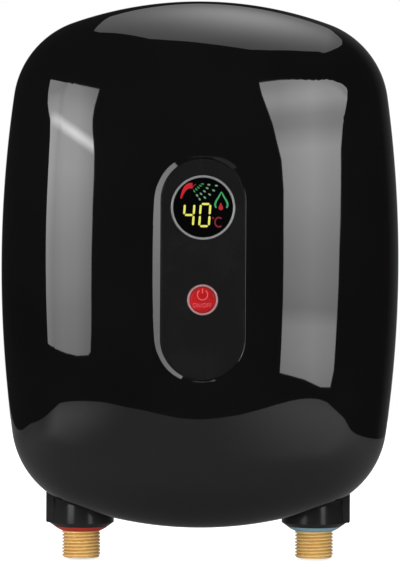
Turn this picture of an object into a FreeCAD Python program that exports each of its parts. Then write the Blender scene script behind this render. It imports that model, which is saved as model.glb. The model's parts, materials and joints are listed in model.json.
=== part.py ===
import FreeCAD, Part
import math
import os

# Wall-hung instant water heater. All sizes are millimetres.
# The wall is the plane y = 0, the front faces -Y, +Z is up and x = 0 is the middle.

V = FreeCAD.Vector
Y_AXIS = V(0, 1, 0)
Z_AXIS = V(0, 0, 1)

# Body outline at the cover's rim: flat arcs joined by round corners
body_width = 216.0
body_height = 286.0
top_radius = 207.0
side_radius = 655.0
corner_radius = 49.0

# Depths from the wall forward
rear_depth = 42.0
cover_depth = 52.0
crown_radius_x = 244.0
crown_radius_z = 900.0

# Walls and the joint between housing and cover
cover_wall = 2.6
rear_wall = 2.8
skirt_length = 2.0
seam_gap = 0.4
lip_thickness = 2.5
lip_clearance = 0.3
lip_height = 4.2
gasket_thickness = 1.2
gasket_setback = 0.6
seal_rib_thickness = 1.8
rear_side_inset = 0.8
rear_back_inset = 5.0
rear_edge_radius = 4.0
floor_taper = 0.6
lip_top = rear_depth - skirt_length - seam_gap + lip_height

# Control panel in its shallow recess
panel_width = 44.5
panel_height = 117.0
panel_centre_z = -2.5
panel_thickness = 2.0
panel_fit = 0.15
bevel_width = 4.25
recess_depth = 2.45
ledge_width = 3.2
ledge_thickness = 1.6
panel_front = rear_depth + cover_depth - recess_depth
panel_back = panel_front - panel_thickness
ledge_back = panel_back - ledge_thickness

# Round display in the panel
display_z = 30.0
display_ring_radius = 17.05
display_ring_width = 1.65
display_ring_rise = 0.5
trim_flange_width = 1.3
trim_flange_thickness = 0.8
lens_thickness = 1.4
lens_setback = 0.5
lens_fit = 0.05

# Power button in the panel
button_z = -18.5
button_ring_radius = 8.3
button_radius = 6.85
button_gap = 0.3
button_rise = 0.9
button_travel = 0.6
button_flange_width = 1.5
button_flange_thickness = 1.0
button_stop_gap = 0.3
button_stem_radius = 2.0
button_edge = 0.4
button_dish = 0.3

# Control board behind the panel
board_gap = 8.0
board_thickness = 1.6
control_board_width = 50.0
control_board_height = 104.0
post_x = 21.9
post_z = 33.0
post_radius = 2.4
board_screw_radius = 1.1
board_screw_bite = 5.0
board_screw_head = 2.0
board_screw_head_height = 1.4
control_board_corner = 6.0
tact_body_size = 6.2
tact_body_height = 3.5
tact_floor = 0.8
plunger_radius = 1.7
plunger_reach = 1.5
plunger_gap = 0.1
plunger_sink = 1.3
display_block_width = 27.0
display_block_height = 24.0
display_block_gap = 0.6
display_window_pitch = 8.5
display_window_width = 6.4
display_window_height = 16.0
display_window_sink = 1.0
board_front = ledge_back - board_gap
board_back = board_front - board_thickness

# Water connections, half-inch parallel thread
pipe_spacing = 128.6
pipe_axis_depth = 20.5
thread_radius = 10.4775
thread_chamfer = 1.0
bore_radius = 7.0
fitting_tail_radius = 10.3
fitting_fit = 0.1
fitting_flange_thickness = 2.5
fitting_bottom = -162.5
fitting_top = -114.0

# Collars and coloured rings under the housing
collar_radius = 18.0
collar_top = -122.0
collar_shoulder = -141.9
collar_mouth = -145.0
collar_mouth_radius = 14.2
collar_key_reach = 19.2
collar_key_width = 17.6
collar_key_chamfer = 0.8
collar_gap = 0.6
pocket_wall = 2.2
ring_bottom = -147.9
ring_bottom_radius = 11.0
spigot_radius = 14.8
spigot_bottom = -136.0
seal_thickness = 1.2
filter_thickness = 2.0
filter_sink = 4.0
filter_hole_radius = 1.1
filter_hole_circle = 4.0

# Flow sensor over the cold inlet
sensor_radius = 12.5
sensor_bore = 8.4
sensor_top = -80.0
sensor_socket = 6.0
sensor_ledge = 1.4
sensor_pad_rise = 1.0
sensor_pad_width = 12.0
sensor_pad_height = 16.0
hall_height = 12.0
hall_thickness = 4.0
guide_thickness = 3.0
guide_hub_radius = 2.6
guide_arm_width = 1.4
shaft_radius = 1.0
rotor_radius = 7.6
rotor_hub_radius = 2.8
rotor_blade = 1.2
rotor_fit = 0.06
rotor_end_gap = 0.3

# Heating tank
tank_width = 152.0
tank_bottom = -42.0
tank_top = 68.0
tank_back = 11.0
tank_depth = 36.0
tank_wall = 3.5
tank_corner = 8.0
tank_flange = 5.0
tank_flange_height = 8.0
tank_screw_radius = 1.7
tank_screw_clearance = 2.1
tank_screw_head_height = 2.6
lid_screw_head = 3.4
lid_screw_spread = 52.0
ear_screw_head = 3.6
ear_overlap = 0.5
baffle_gap = 24.0
lid_thickness = 6.0
baffle_thickness = 3.0
pipe_radius = 8.0
pipe_wall = 1.0
element_radius = 4.0
element_spacing = 30.0
element_x = 37.0
element_bottom = -20.0
element_rise = 3.0
element_terminal = 14.0
terminal_blade_width = 6.2
terminal_blade_thickness = 0.8
probe_z = -68.0
probe_saddle_width = 22.0
probe_saddle_height = 12.0
probe_saddle_back = 4.0
probe_saddle_front = 11.0
probe_radius = 3.2
probe_reach = 18.0
flare_height = 4.0
ear_size = 14.0
ear_thickness = 4.0
ear_z = (-28.0, 52.0)

# Wall fixing and cover screws
keyhole_spacing = 110.0
keyhole_z = 103.0
keyhole_radius = 4.6
keyhole_slot_radius = 2.4
keyhole_rise = 10.0
keyhole_pocket_depth = 8.0
keyhole_pocket_wall = 2.0
cover_screw_x = 85.0
cover_screw_z = 97.0
cover_screw_radius = 1.9
cover_screw_head = 4.0
cover_screw_head_height = 2.6
cover_screw_bite = 14.0
cover_screw_sink = 1.0
cover_screw_slot = 1.0
cover_screw_clearance = 0.3
boss_radius = 6.6
cover_boss_radius = 5.0

# Electrical parts
power_board_width = 128.0
power_board_bottom = -26.0
power_board_top = 56.0
power_board_gap = 8.0
cutout_radius = 8.0
cutout_height = 9.0
cutout_flange = 12.0
cutout_flange_thickness = 1.4
reset_radius = 2.4
reset_rise = 3.0
reset_travel = 1.5
reset_gap = 0.1
reset_room = 0.5
cutout_bore = 5.0
spacer_radius = 3.0
spacer_inset = 6.0
component_edge = 0.8
relay_width = 20.0
relay_height = 28.0
relay_depth = 16.0
relay_x = 46.0
relay_z = 30.0
transformer_width = 26.0
transformer_height = 22.0
transformer_depth = 14.0
transformer_x = -42.0
capacitor_radius = 6.2
capacitor_height = 14.0
capacitor_x = 44.0
small_parts_z = -8.0
heat_sink_width = 30.0
heat_sink_height = 24.0
heat_sink_depth = 12.0
heat_sink_rise = 2.0
triac_offset = 7.2
triac_half_width = 5.0
triac_tab = 1.3
triac_front = 4.5
triac_bottom = 7.0
triac_body_top = 2.0
triac_tab_top = 9.0
triac_hole_z = 5.6
triac_hole_radius = 1.8
terminal_width = 42.0
terminal_height = 20.0
terminal_depth = 18.0
terminal_z = -88.0
terminal_stand = 6.0
terminal_foot_radius = 4.0
terminal_well_radius = 3.0
terminal_well_depth = 6.0
terminal_well_pitch = 13.0
terminal_well_row = 5.0
coil_radius = 9.0
coil_thickness = 4.0
coil_z = -60.0
coil_sides = 8
coil_foot = 10.0
coil_stand = 2.0
grommet_radius = 6.5
grommet_flange = 9.0
grommet_bore = 4.0
grommet_sleeve = 1.5
grommet_fit = 0.2
grommet_sink = 3.2
grommet_depth = 9.0
grommet_flange_thickness = 1.8
grommet_rise = 3.0
clamp_rise = 12.0
clamp_width = 32.0
clamp_height = 10.0
clamp_thickness = 3.0
clamp_pillar_x = 12.0
clamp_pillar_radius = 4.0
earth_x = 24.0
earth_stud_radius = 2.5
earth_nut_radius = 4.6
earth_length = 12.0
earth_nut_low = 7.0
earth_nut_high = 3.0
ribbon_z = 5.0
ribbon_plug_width = 18.0
ribbon_plug_height = 6.0
ribbon_plug_depth = 3.0
ribbon_socket_depth = 4.0
ribbon_width = 16.0
ribbon_thickness = 0.8

# Cutting tools reach this far past what they cut
past = 1.0


def cylinder(radius, start, direction, length):
    return Part.makeCylinder(radius, length, start, direction)


def block(x0, x1, y0, y1, z0, z1):
    # Box between two depths in front of the wall
    return Part.makeBox(x1 - x0, y1 - y0, z1 - z0, V(x0, -y1, z0))


def forward(radius, x, z, y0, y1):
    # Round bar along the depth, between two depths in front of the wall
    return cylinder(radius, V(x, -y0, z), V(0, -1, 0), y1 - y0)


def upright(radius, x, depth, z0, z1):
    return cylinder(radius, V(x, -depth, z0), Z_AXIS, z1 - z0)


def lathe(profile, x, depth):
    # Turned piece about an upright axis, from (radius, z) points
    points = [V(x + radius, -depth, z) for radius, z in profile]
    face = Part.Face(Part.makePolygon(points + points[:1]))
    return face.revolve(V(x, -depth, 0), Z_AXIS, 360)


def turned(profile, x, z):
    # Turned piece about an axis along the depth, from (radius, depth) points
    points = [V(x + radius, -depth, z) for radius, depth in profile]
    face = Part.Face(Part.makePolygon(points + points[:1]))
    return face.revolve(V(x, 0, z), Y_AXIS, 360)


def joined(shapes):
    whole = shapes[0]
    for shape in shapes[1:]:
        whole = whole.fuse(shape)
    return whole


def less(shape, tools):
    for tool in tools:
        shape = shape.cut(tool)
    return shape


def unit(dx, dz):
    length = math.hypot(dx, dz)
    return dx / length, dz / length


def corner_centre():
    # The corner arc touches the top arc and the side arc from inside
    top_z = body_height / 2 - top_radius
    side_x = body_width / 2 - side_radius
    gap = math.hypot(side_x, top_z)
    reach_top = top_radius - corner_radius
    reach_side = side_radius - corner_radius
    along = (reach_top ** 2 - reach_side ** 2 + gap ** 2) / (2 * gap)
    across = math.sqrt(reach_top ** 2 - along ** 2)
    ux, uz = unit(side_x, -top_z)
    return along * ux + across * uz, top_z + along * uz - across * ux


top_centre = (0.0, body_height / 2 - top_radius)
side_centre = (body_width / 2 - side_radius, 0.0)
round_centre = corner_centre()
to_top = unit(round_centre[0] - top_centre[0], round_centre[1] - top_centre[1])
to_side = unit(round_centre[0] - side_centre[0], round_centre[1] - side_centre[1])


def outline_wire(inset, depth):
    # The body outline, drawn in by an even inset, in the plane at a depth
    radius = corner_radius - inset
    half_w = body_width / 2 - inset
    half_h = body_height / 2 - inset
    tx = round_centre[0] + radius * to_top[0]
    tz = round_centre[1] + radius * to_top[1]
    sx = round_centre[0] + radius * to_side[0]
    sz = round_centre[1] + radius * to_side[1]
    mid = unit(to_top[0] + to_side[0], to_top[1] + to_side[1])
    mx = round_centre[0] + radius * mid[0]
    mz = round_centre[1] + radius * mid[1]
    stops = [(-tx, tz), (0, half_h), (tx, tz), (mx, mz), (sx, sz), (half_w, 0),
             (sx, -sz), (mx, -mz), (tx, -tz), (0, -half_h), (-tx, -tz), (-mx, -mz),
             (-sx, -sz), (-half_w, 0), (-sx, sz), (-mx, mz), (-tx, tz)]
    points = [V(x, -depth, z) for x, z in stops]
    arcs = [Part.Arc(*points[i:i + 3]).toShape() for i in range(0, 16, 2)]
    return Part.Wire(arcs)


def outline_prism(inset, y0, y1):
    return Part.Face(outline_wire(inset, y0)).extrude(V(0, y0 - y1, 0))


def outline_ring(outer_inset, inner_inset, y0, y1):
    return outline_prism(outer_inset, y0, y1).cut(outline_prism(inner_inset, y0 - past, y1 + past))


def outline_loft(stations):
    return Part.makeLoft([outline_wire(inset, depth) for inset, depth in stations], True, True)


def rim_gap(x, z, inset):
    # Distance in from the rim, and the nearest point of the rim
    x, z = abs(x), abs(z)
    vx, vz = x - round_centre[0], z - round_centre[1]
    past_top = to_top[0] * vz - to_top[1] * vx
    past_side = to_side[0] * vz - to_side[1] * vx
    choices = [(top_centre, top_radius), (side_centre, side_radius)]
    if past_top <= 0 <= past_side:
        choices = [(round_centre, corner_radius)]
    best = None
    for centre, radius in choices:
        away = math.hypot(x - centre[0], z - centre[1])
        gap = radius - inset - away
        if best is None or gap < best[0]:
            scale = (radius - inset) / max(away, 0.001)
            rim_x = centre[0] + (x - centre[0]) * scale
            rim_z = centre[1] + (z - centre[1]) * scale
            best = (gap, rim_x, rim_z)
    return best


def crown_sag(x, z):
    return x * x / (2 * crown_radius_x) + z * z / (2 * crown_radius_z)


def crown_height(x, z, inset):
    # Height over the rim: a shallow crown, rounded down to the rim all the way round
    gap, rim_x, rim_z = rim_gap(x, z, inset)
    if gap < 0:
        return -1.0
    edge_radius = cover_depth - inset - crown_sag(rim_x, rim_z)
    bite = max(edge_radius - gap, 0)
    drop = edge_radius - math.sqrt(edge_radius ** 2 - bite ** 2)
    return cover_depth - inset - crown_sag(x, z) - drop


def contour_wire(level, inset, depth, count=72):
    # Closed line where the cover has a given height over the rim
    points = []
    for i in range(count):
        turn = 2 * math.pi * i / count
        step_x = math.sin(turn) * body_width / 2
        step_z = math.cos(turn) * body_height / 2
        near, far = 0.0, 1.5
        for _ in range(40):
            middle = (near + far) / 2
            if crown_height(step_x * middle, step_z * middle, inset) > level:
                near = middle
            else:
                far = middle
        points.append(V(step_x * near, -depth, step_z * near))
    curve = Part.BSplineCurve()
    curve.interpolate(Points=points, PeriodicFlag=True)
    return Part.Wire([curve.toShape()])


def contour_levels(inset, edge_steps=6, crown_steps=4):
    # Heights over the rim at even turns of the rounded edge, then even steps in to the panel
    half_w = body_width / 2 - inset
    edge_radius = cover_depth - inset - crown_sag(half_w, 0)
    levels = [0.0]
    for i in range(1, edge_steps + 1):
        turn = math.pi / 2 * i / edge_steps
        levels.append(crown_height(half_w - edge_radius * (1 - math.cos(turn)), 0, inset))
    start = half_w - edge_radius
    end = panel_width / 2
    for i in range(1, crown_steps + 1):
        levels.append(crown_height(start + (end - start) * i / crown_steps, 0, inset))
    return levels


def cover_form(inset, back):
    # Solid with the cover's domed front, inset evenly for the inside
    wires = [contour_wire(0, inset, back)]
    for level in contour_levels(inset):
        wires.append(contour_wire(level, inset, rear_depth + level))
    return Part.makeLoft(wires, True, False)


def slot_wire(half_width, half_height, depth):
    # Upright slot with round ends, centred on the control panel
    rise = half_height - half_width
    high = panel_centre_z + rise
    low = panel_centre_z - rise
    top = Part.Arc(V(-half_width, -depth, high), V(0, -depth, high + half_width),
                   V(half_width, -depth, high)).toShape()
    right = Part.makeLine(V(half_width, -depth, high), V(half_width, -depth, low))
    bottom = Part.Arc(V(half_width, -depth, low), V(0, -depth, low - half_width),
                      V(-half_width, -depth, low)).toShape()
    left = Part.makeLine(V(-half_width, -depth, low), V(-half_width, -depth, high))
    return Part.Wire([top, right, bottom, left])


def slot_prism(grow, y0, y1):
    wire = slot_wire(panel_width / 2 + grow, panel_height / 2 + grow, y0)
    return Part.Face(wire).extrude(V(0, y0 - y1, 0))


def recess_tool():
    # Shallow recess with an even slope all round: the crowned front makes it widest at the sides
    half_w = panel_width / 2
    half_h = panel_height / 2
    side_rise = recess_depth - crown_sag(half_w + bevel_width, 0)
    reach = recess_depth + past
    spread = bevel_width * reach / side_rise
    floor = slot_wire(half_w, half_h, panel_front)
    mouth = slot_wire(half_w + spread, half_h + spread, panel_front + reach)
    return Part.makeLoft([floor, mouth], True, True)


def pipe_places():
    return {"hot": -pipe_spacing / 2, "cold": pipe_spacing / 2}


def cover_screw_places():
    return [(sx * cover_screw_x, sz * cover_screw_z) for sx in (-1, 1) for sz in (-1, 1)]


def board_post_places():
    return [(sx * post_x, panel_centre_z + sz * post_z) for sx in (-1, 1) for sz in (-1, 1)]


def cover_boss_top(x, z):
    return rear_depth + crown_height(x, z, cover_wall) + cover_wall / 2


def front_cover():
    skirt_end = rear_depth - skirt_length
    outer = cover_form(0, skirt_end)
    inner = cover_form(cover_wall, skirt_end - 1)
    seal_at = lip_top + gasket_thickness
    kept = [outline_ring(cover_wall - 1, cover_wall + lip_clearance + lip_thickness,
                         seal_at, seal_at + seal_rib_thickness)]
    kept.append(slot_prism(ledge_width, ledge_back, rear_depth + cover_depth))
    for x, z in cover_screw_places():
        kept.append(forward(cover_boss_radius, x, z, lip_top, cover_boss_top(x, z)))
    for x, z in board_post_places():
        kept.append(forward(post_radius, x, z, board_front, ledge_back + 1))
    cavity = less(inner, kept)
    cover = outer.cut(cavity)
    window = slot_prism(-ledge_width, ledge_back - 1, panel_front)
    seat = slot_prism(0, panel_back, panel_front + 0.5)
    holes = [recess_tool(), seat, window]
    for x, z in cover_screw_places():
        holes.append(forward(cover_screw_radius, x, z, lip_top - past,
                             lip_top + cover_screw_bite))
    for x, z in board_post_places():
        holes.append(forward(board_screw_radius, x, z, board_front - past,
                             board_front + board_screw_bite + past))
    return less(cover, holes)


def rear_shell():
    shoulder = rear_depth - skirt_length - seam_gap
    back = rear_edge_radius
    stations = [(rear_side_inset, shoulder), (rear_back_inset, back)]
    for turn in (30, 60, 90):
        angle = math.radians(turn)
        inset = rear_back_inset + back * (1 - math.cos(angle))
        stations.append((inset, back * (1 - math.sin(angle))))
    outer = outline_loft(stations)
    lip_outer = cover_wall + lip_clearance
    lip = outline_prism(lip_outer, shoulder - 1, lip_top)
    lip_inner = lip_outer + lip_thickness
    floor_inset = rear_back_inset + rear_wall + floor_taper
    cavity = outline_loft([(lip_inner, lip_top + 1), (floor_inset, rear_wall)])
    return outer.fuse(lip), cavity


def collar_pocket(x):
    radius = collar_radius + collar_gap
    reach = math.copysign(collar_key_reach + collar_gap, x)
    half = collar_key_width / 2 + collar_gap
    low = collar_mouth - 10
    hole = upright(radius, x, pipe_axis_depth, low, collar_top)
    key = block(min(x, x + reach), max(x, x + reach), pipe_axis_depth - half,
                pipe_axis_depth + half, low, collar_top)
    return hole.fuse(key)


def collar_pocket_wall(x):
    radius = collar_radius + collar_gap + pocket_wall
    reach = math.copysign(collar_key_reach + collar_gap + pocket_wall, x)
    half = collar_key_width / 2 + collar_gap + pocket_wall
    top = collar_top + rear_wall
    wall = upright(radius, x, pipe_axis_depth, collar_mouth, top)
    key = block(min(x, x + reach), max(x, x + reach), pipe_axis_depth - half,
                pipe_axis_depth + half, collar_mouth, top)
    return wall.fuse(key)


def keyhole(side, y0, y1, grow):
    x = side * keyhole_spacing / 2
    top = keyhole_z + keyhole_rise
    entry = forward(keyhole_radius + grow, x, keyhole_z, y0, y1)
    narrow = keyhole_slot_radius + grow
    if grow:
        narrow = keyhole_radius + grow
    slot = block(x - narrow, x + narrow, y0, y1, keyhole_z, top)
    end = forward(narrow, x, top, y0, y1)
    return joined([entry, slot, end])


def rear_housing():
    shell, cavity = rear_shell()
    inside_top = rear_wall + keyhole_pocket_depth
    kept = []
    for side in (-1, 1):
        wall = keyhole_pocket_wall
        kept.append(keyhole(side, 0, inside_top + wall, wall))
    for x in pipe_places().values():
        kept.append(collar_pocket_wall(x))
    for x, z in cover_screw_places():
        kept.append(forward(boss_radius, x, z, 0, lip_top))
    for x, z in tank_ear_places():
        kept.append(forward(ear_size / 2 - 1, x, z, 0, tank_back))
    for side in (-1, 1):
        x = side * (terminal_width / 2 - terminal_foot_radius)
        kept.append(forward(terminal_foot_radius, x, terminal_z, 0, terminal_back()))
    kept.append(upright(grommet_flange + grommet_sleeve, 0, pipe_axis_depth, -body_height / 2,
                        grommet_ceiling()))
    housing = shell.cut(less(cavity, kept))
    holes = []
    for side in (-1, 1):
        holes.append(keyhole(side, -past, rear_wall, 0))
        holes.append(keyhole(side, rear_wall, inside_top, 0.01))
    for x, z in cover_screw_places():
        holes.append(forward(cover_screw_radius + cover_screw_clearance, x, z, -past,
                             lip_top + past))
        holes.append(forward(cover_screw_head + cover_screw_clearance, x, z, -past,
                             cover_screw_sink + cover_screw_head_height))
    for x, z in tank_ear_places():
        holes.append(forward(tank_screw_radius, x, z, rear_wall, tank_back + past))
    for x in pipe_places().values():
        holes.append(collar_pocket(x))
    below = -body_height / 2 - past
    holes.append(upright(grommet_radius, 0, pipe_axis_depth, below, grommet_ceiling() + past))
    holes.append(upright(grommet_flange + grommet_fit, 0, pipe_axis_depth, below,
                         grommet_seat()))
    housing = less(housing, holes)
    for x in pipe_places().values():
        housing = housing.fuse(spigot(x)).cut(upright(fitting_tail_radius + fitting_fit, x,
                                                      pipe_axis_depth, spigot_bottom - 1,
                                                      collar_top + rear_wall + 1))
    return housing


def spigot(x):
    return upright(spigot_radius, x, pipe_axis_depth, spigot_bottom, collar_top + 1)


def grommet_seat():
    return -body_height / 2 + grommet_sink


def grommet_ceiling():
    return -body_height / 2 + grommet_depth


def tank_ear_places():
    x = tank_width / 2 + ear_size / 2 - ear_overlap
    return [(side * x, z) for side in (-1, 1) for z in ear_z]


def housing_gasket():
    outer = cover_wall + lip_clearance + gasket_setback
    inner = cover_wall + lip_clearance + lip_thickness - 0.2
    return outline_ring(outer, inner, lip_top, lip_top + gasket_thickness)


def cover_screws():
    screws = []
    for x, z in cover_screw_places():
        back = cover_screw_sink
        half = cover_screw_slot / 2
        head = forward(cover_screw_head, x, z, back, back + cover_screw_head_height)
        shank = forward(cover_screw_radius, x, z, back, lip_top + cover_screw_bite - 1)
        slot = block(x - cover_screw_head, x + cover_screw_head, back - past, back + 1,
                     z - half, z + half)
        screws.append(head.fuse(shank).cut(slot))
    return Part.makeCompound(screws)


def control_panel():
    panel = slot_prism(-panel_fit, panel_back, panel_front)
    display_hole = forward(display_ring_radius, 0, display_z, panel_back - 1, panel_front + 1)
    button_hole = forward(button_ring_radius, 0, button_z, panel_back - 1, panel_front + 1)
    return less(panel, [display_hole, button_hole])


def trim_ring(radius, width, z):
    # Bright ring through the panel, with a flange behind it
    flange_back = panel_back - trim_flange_thickness
    ring = forward(radius, 0, z, flange_back, panel_front + display_ring_rise)
    flange = forward(radius + trim_flange_width, 0, z, flange_back, panel_back)
    hole = forward(radius - width, 0, z, flange_back - 1, panel_front + 2)
    return ring.fuse(flange).cut(hole)


def display_bezel():
    ring = trim_ring(display_ring_radius, display_ring_width, display_z)
    flange_back = panel_back - trim_flange_thickness
    inner = display_ring_radius - display_ring_width
    lip = forward(inner + 0.1, 0, display_z, flange_back, lens_back())
    lip_hole = forward(inner - 1, 0, display_z, flange_back - 1, panel_front)
    return ring.fuse(lip.cut(lip_hole))


def lens_back():
    return panel_front - lens_setback - lens_thickness


def display_lens():
    radius = display_ring_radius - display_ring_width - lens_fit
    return forward(radius, 0, display_z, lens_back(), lens_back() + lens_thickness)


def button_ring():
    width = button_ring_radius - button_radius - button_gap
    return trim_ring(button_ring_radius, width, button_z)


def button_flange_front():
    return panel_back - trim_flange_thickness - button_stop_gap


def power_button():
    # Cap with a shallow dish in front, a stop flange behind the ring and a stem
    front = panel_front + button_rise
    flange_front = button_flange_front()
    flange_back = flange_front - button_flange_thickness
    flange_radius = button_radius + button_flange_width
    profile = [(0, plunger_tip()), (button_stem_radius, plunger_tip()),
               (button_stem_radius, flange_back), (flange_radius, flange_back),
               (flange_radius, flange_front), (button_radius, flange_front),
               (button_radius, front - button_edge), (button_radius - button_edge, front),
               (button_radius / 2, front - 0.8 * button_dish), (0, front - button_dish)]
    return turned(profile, 0, button_z)


def tact_front():
    return board_front + tact_body_height


def plunger_tip():
    return tact_front() + plunger_reach


def tact_switch():
    half = tact_body_size / 2
    body = block(-half, half, board_front, tact_front(), button_z - half, button_z + half)
    bore = forward(plunger_radius + plunger_gap, 0, button_z, board_front + tact_floor,
                   plunger_tip())
    return body.cut(bore)


def switch_plunger():
    return forward(plunger_radius, 0, button_z, tact_front() - plunger_sink, plunger_tip())


def display_module():
    # Light box in front of the board, close behind the lens
    front = panel_back - trim_flange_thickness - display_block_gap
    half_w = display_block_width / 2
    half_h = display_block_height / 2
    body = block(-half_w, half_w, board_front, front, display_z - half_h, display_z + half_h)
    reach_w = display_window_width / 2
    reach_h = display_window_height / 2
    windows = []
    for x in (-display_window_pitch, 0, display_window_pitch):
        windows.append(block(x - reach_w, x + reach_w, front - display_window_sink,
                             front + past, display_z - reach_h, display_z + reach_h))
    return less(body, windows)


def control_board():
    half_w = control_board_width / 2
    low = panel_centre_z - control_board_height / 2
    high = panel_centre_z + control_board_height / 2
    board = block(-half_w, half_w, board_back, board_front, low, high)
    corners = [e for e in board.Edges if abs(abs(e.tangentAt(e.FirstParameter).y) - 1) < 0.01]
    board = board.makeFillet(control_board_corner, corners)
    holes = [forward(board_screw_radius, x, z, board_back - past, board_front + past)
             for x, z in board_post_places()]
    return less(board, holes)


def control_board_screws():
    screws = []
    for x, z in board_post_places():
        shank = forward(board_screw_radius, x, z, board_back, board_front + board_screw_bite)
        head = forward(board_screw_head, x, z, board_back - board_screw_head_height, board_back)
        screws.append(shank.fuse(head))
    return Part.makeCompound(screws)


def collar(x):
    # Black collar: cylinder, cone under it and a flat key on the outer side
    side = math.copysign(1, x)
    tail = fitting_tail_radius + fitting_fit
    flange_bottom = spigot_bottom - seal_thickness - fitting_flange_thickness
    profile = [(tail, collar_mouth), (collar_mouth_radius, collar_mouth),
               (collar_radius, collar_shoulder), (collar_radius, collar_top),
               (spigot_radius, collar_top), (spigot_radius, flange_bottom),
               (tail, flange_bottom)]
    body = lathe(profile, x, pipe_axis_depth)
    half = collar_key_width / 2
    reach = side * collar_key_reach
    key = block(min(x, x + reach), max(x, x + reach), pipe_axis_depth - half,
                pipe_axis_depth + half, collar_shoulder, collar_top)
    edges = [e for e in key.Edges if abs(e.CenterOfMass.x - x - reach) < 0.01]
    key = key.makeChamfer(collar_key_chamfer, edges)
    core = upright(collar_radius - 1, x, pipe_axis_depth, collar_shoulder - past,
                   collar_top + past)
    return body.fuse(key.cut(core))


def colour_ring(x):
    tail = fitting_tail_radius + fitting_fit
    profile = [(tail, collar_mouth), (collar_mouth_radius, collar_mouth),
               (ring_bottom_radius, ring_bottom), (tail, ring_bottom)]
    return lathe(profile, x, pipe_axis_depth)


def fitting(x):
    # Brass fitting: thread below, clamped flange in the collar, plain tail above
    flange_top = spigot_bottom - seal_thickness
    flange_bottom = flange_top - fitting_flange_thickness
    flange_radius = spigot_radius - fitting_fit
    profile = [(bore_radius, fitting_bottom),
               (thread_radius - thread_chamfer, fitting_bottom),
               (thread_radius, fitting_bottom + thread_chamfer),
               (thread_radius, ring_bottom),
               (fitting_tail_radius, ring_bottom),
               (fitting_tail_radius, flange_bottom),
               (flange_radius, flange_bottom),
               (flange_radius, flange_top),
               (fitting_tail_radius, flange_top),
               (fitting_tail_radius, fitting_top),
               (bore_radius, fitting_top)]
    return lathe(profile, x, pipe_axis_depth)


def fitting_seal(x):
    top = spigot_bottom
    ring = upright(spigot_radius - fitting_fit, x, pipe_axis_depth, top - seal_thickness, top)
    return ring.cut(upright(fitting_tail_radius, x, pipe_axis_depth, top - seal_thickness - past,
                            top + past))


def inlet_filter(x):
    # Perforated disc near the top of the cold fitting
    top = fitting_top - filter_sink
    low = top - filter_thickness
    disc = upright(bore_radius, x, pipe_axis_depth, low, top)
    centres = [(0.0, 0.0)]
    for i in range(6):
        turn = math.radians(60 * i)
        centres.append((filter_hole_circle * math.cos(turn), filter_hole_circle * math.sin(turn)))
    holes = [upright(filter_hole_radius, x + across, pipe_axis_depth + along, low - past,
                     top + past) for across, along in centres]
    return less(disc, holes)


def sensor_bottom():
    return fitting_top - sensor_socket


def flow_sensor_body(x):
    # Sleeve over the fitting's tail, with the rotor's chamber above it
    outer = upright(sensor_radius, x, pipe_axis_depth, sensor_bottom() + sensor_ledge, sensor_top)
    socket = upright(fitting_tail_radius, x, pipe_axis_depth, sensor_bottom() - 1, fitting_top)
    chamber = upright(sensor_bore, x, pipe_axis_depth, fitting_top - 1, sensor_top + 1)
    half = sensor_pad_width / 2
    middle = rotor_middle()
    pad = block(x - half, x + half, pipe_axis_depth + sensor_radius - 2, sensor_pad_front(),
                middle - sensor_pad_height / 2, middle + sensor_pad_height / 2)
    return less(outer.fuse(pad), [socket, chamber])


def guide_levels():
    low = fitting_top
    high = sensor_top - 10.0
    return low, high


def flow_guide(x, z):
    # Three arms and a hub that hold one end of the rotor's shaft
    tube = upright(sensor_bore, x, pipe_axis_depth, z, z + guide_thickness)
    ring = tube.cut(upright(sensor_bore - 1, x, pipe_axis_depth, z - 1, z + 9))
    hub = upright(guide_hub_radius, x, pipe_axis_depth, z, z + guide_thickness)
    arms = []
    for i in range(3):
        arm = block(x, x + sensor_bore - 0.5, pipe_axis_depth - guide_arm_width / 2,
                    pipe_axis_depth + guide_arm_width / 2, z, z + guide_thickness)
        arm.rotate(V(x, -pipe_axis_depth, z), Z_AXIS, 120 * i + 90)
        arms.append(arm)
    bore = upright(shaft_radius, x, pipe_axis_depth, z - 1, z + guide_thickness + 1)
    return joined([ring, hub] + arms).cut(bore)


def rotor_middle():
    low, high = guide_levels()
    return (low + guide_thickness + high) / 2


def sensor_pad_front():
    return pipe_axis_depth + sensor_radius + sensor_pad_rise


def rotor_shaft(x):
    low, high = guide_levels()
    return upright(shaft_radius, x, pipe_axis_depth, low, high + guide_thickness)


def flow_rotor(x):
    # Turbine with six straight blades between the two guides
    low, high = guide_levels()
    bottom = low + guide_thickness + rotor_end_gap
    top = high - rotor_end_gap
    hub = upright(rotor_hub_radius, x, pipe_axis_depth, bottom, top)
    blades = []
    for i in range(6):
        blade = block(x + rotor_hub_radius - 0.5, x + rotor_radius,
                      pipe_axis_depth - rotor_blade / 2, pipe_axis_depth + rotor_blade / 2,
                      bottom + 1, top - 1)
        blade.rotate(V(x, -pipe_axis_depth, bottom), Z_AXIS, 60 * i)
        blades.append(blade)
    bore = upright(shaft_radius + rotor_fit, x, pipe_axis_depth, bottom - 1, top + 1)
    return joined([hub] + blades).cut(bore)


def hall_sensor(x):
    front = sensor_pad_front()
    low = rotor_middle() - hall_height / 2
    half = sensor_pad_width / 2 - 1
    return block(x - half, x + half, front, front + hall_thickness, low, low + hall_height)


def water_pipe(x, bottom):
    tube = upright(pipe_radius, x, pipe_axis_depth, bottom, tank_bottom + tank_wall)
    flare = upright(fitting_tail_radius, x, pipe_axis_depth, bottom, bottom + flare_height)
    bore = upright(pipe_radius - pipe_wall, x, pipe_axis_depth, bottom - 1, tank_top)
    return tube.fuse(flare).cut(bore)


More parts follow.
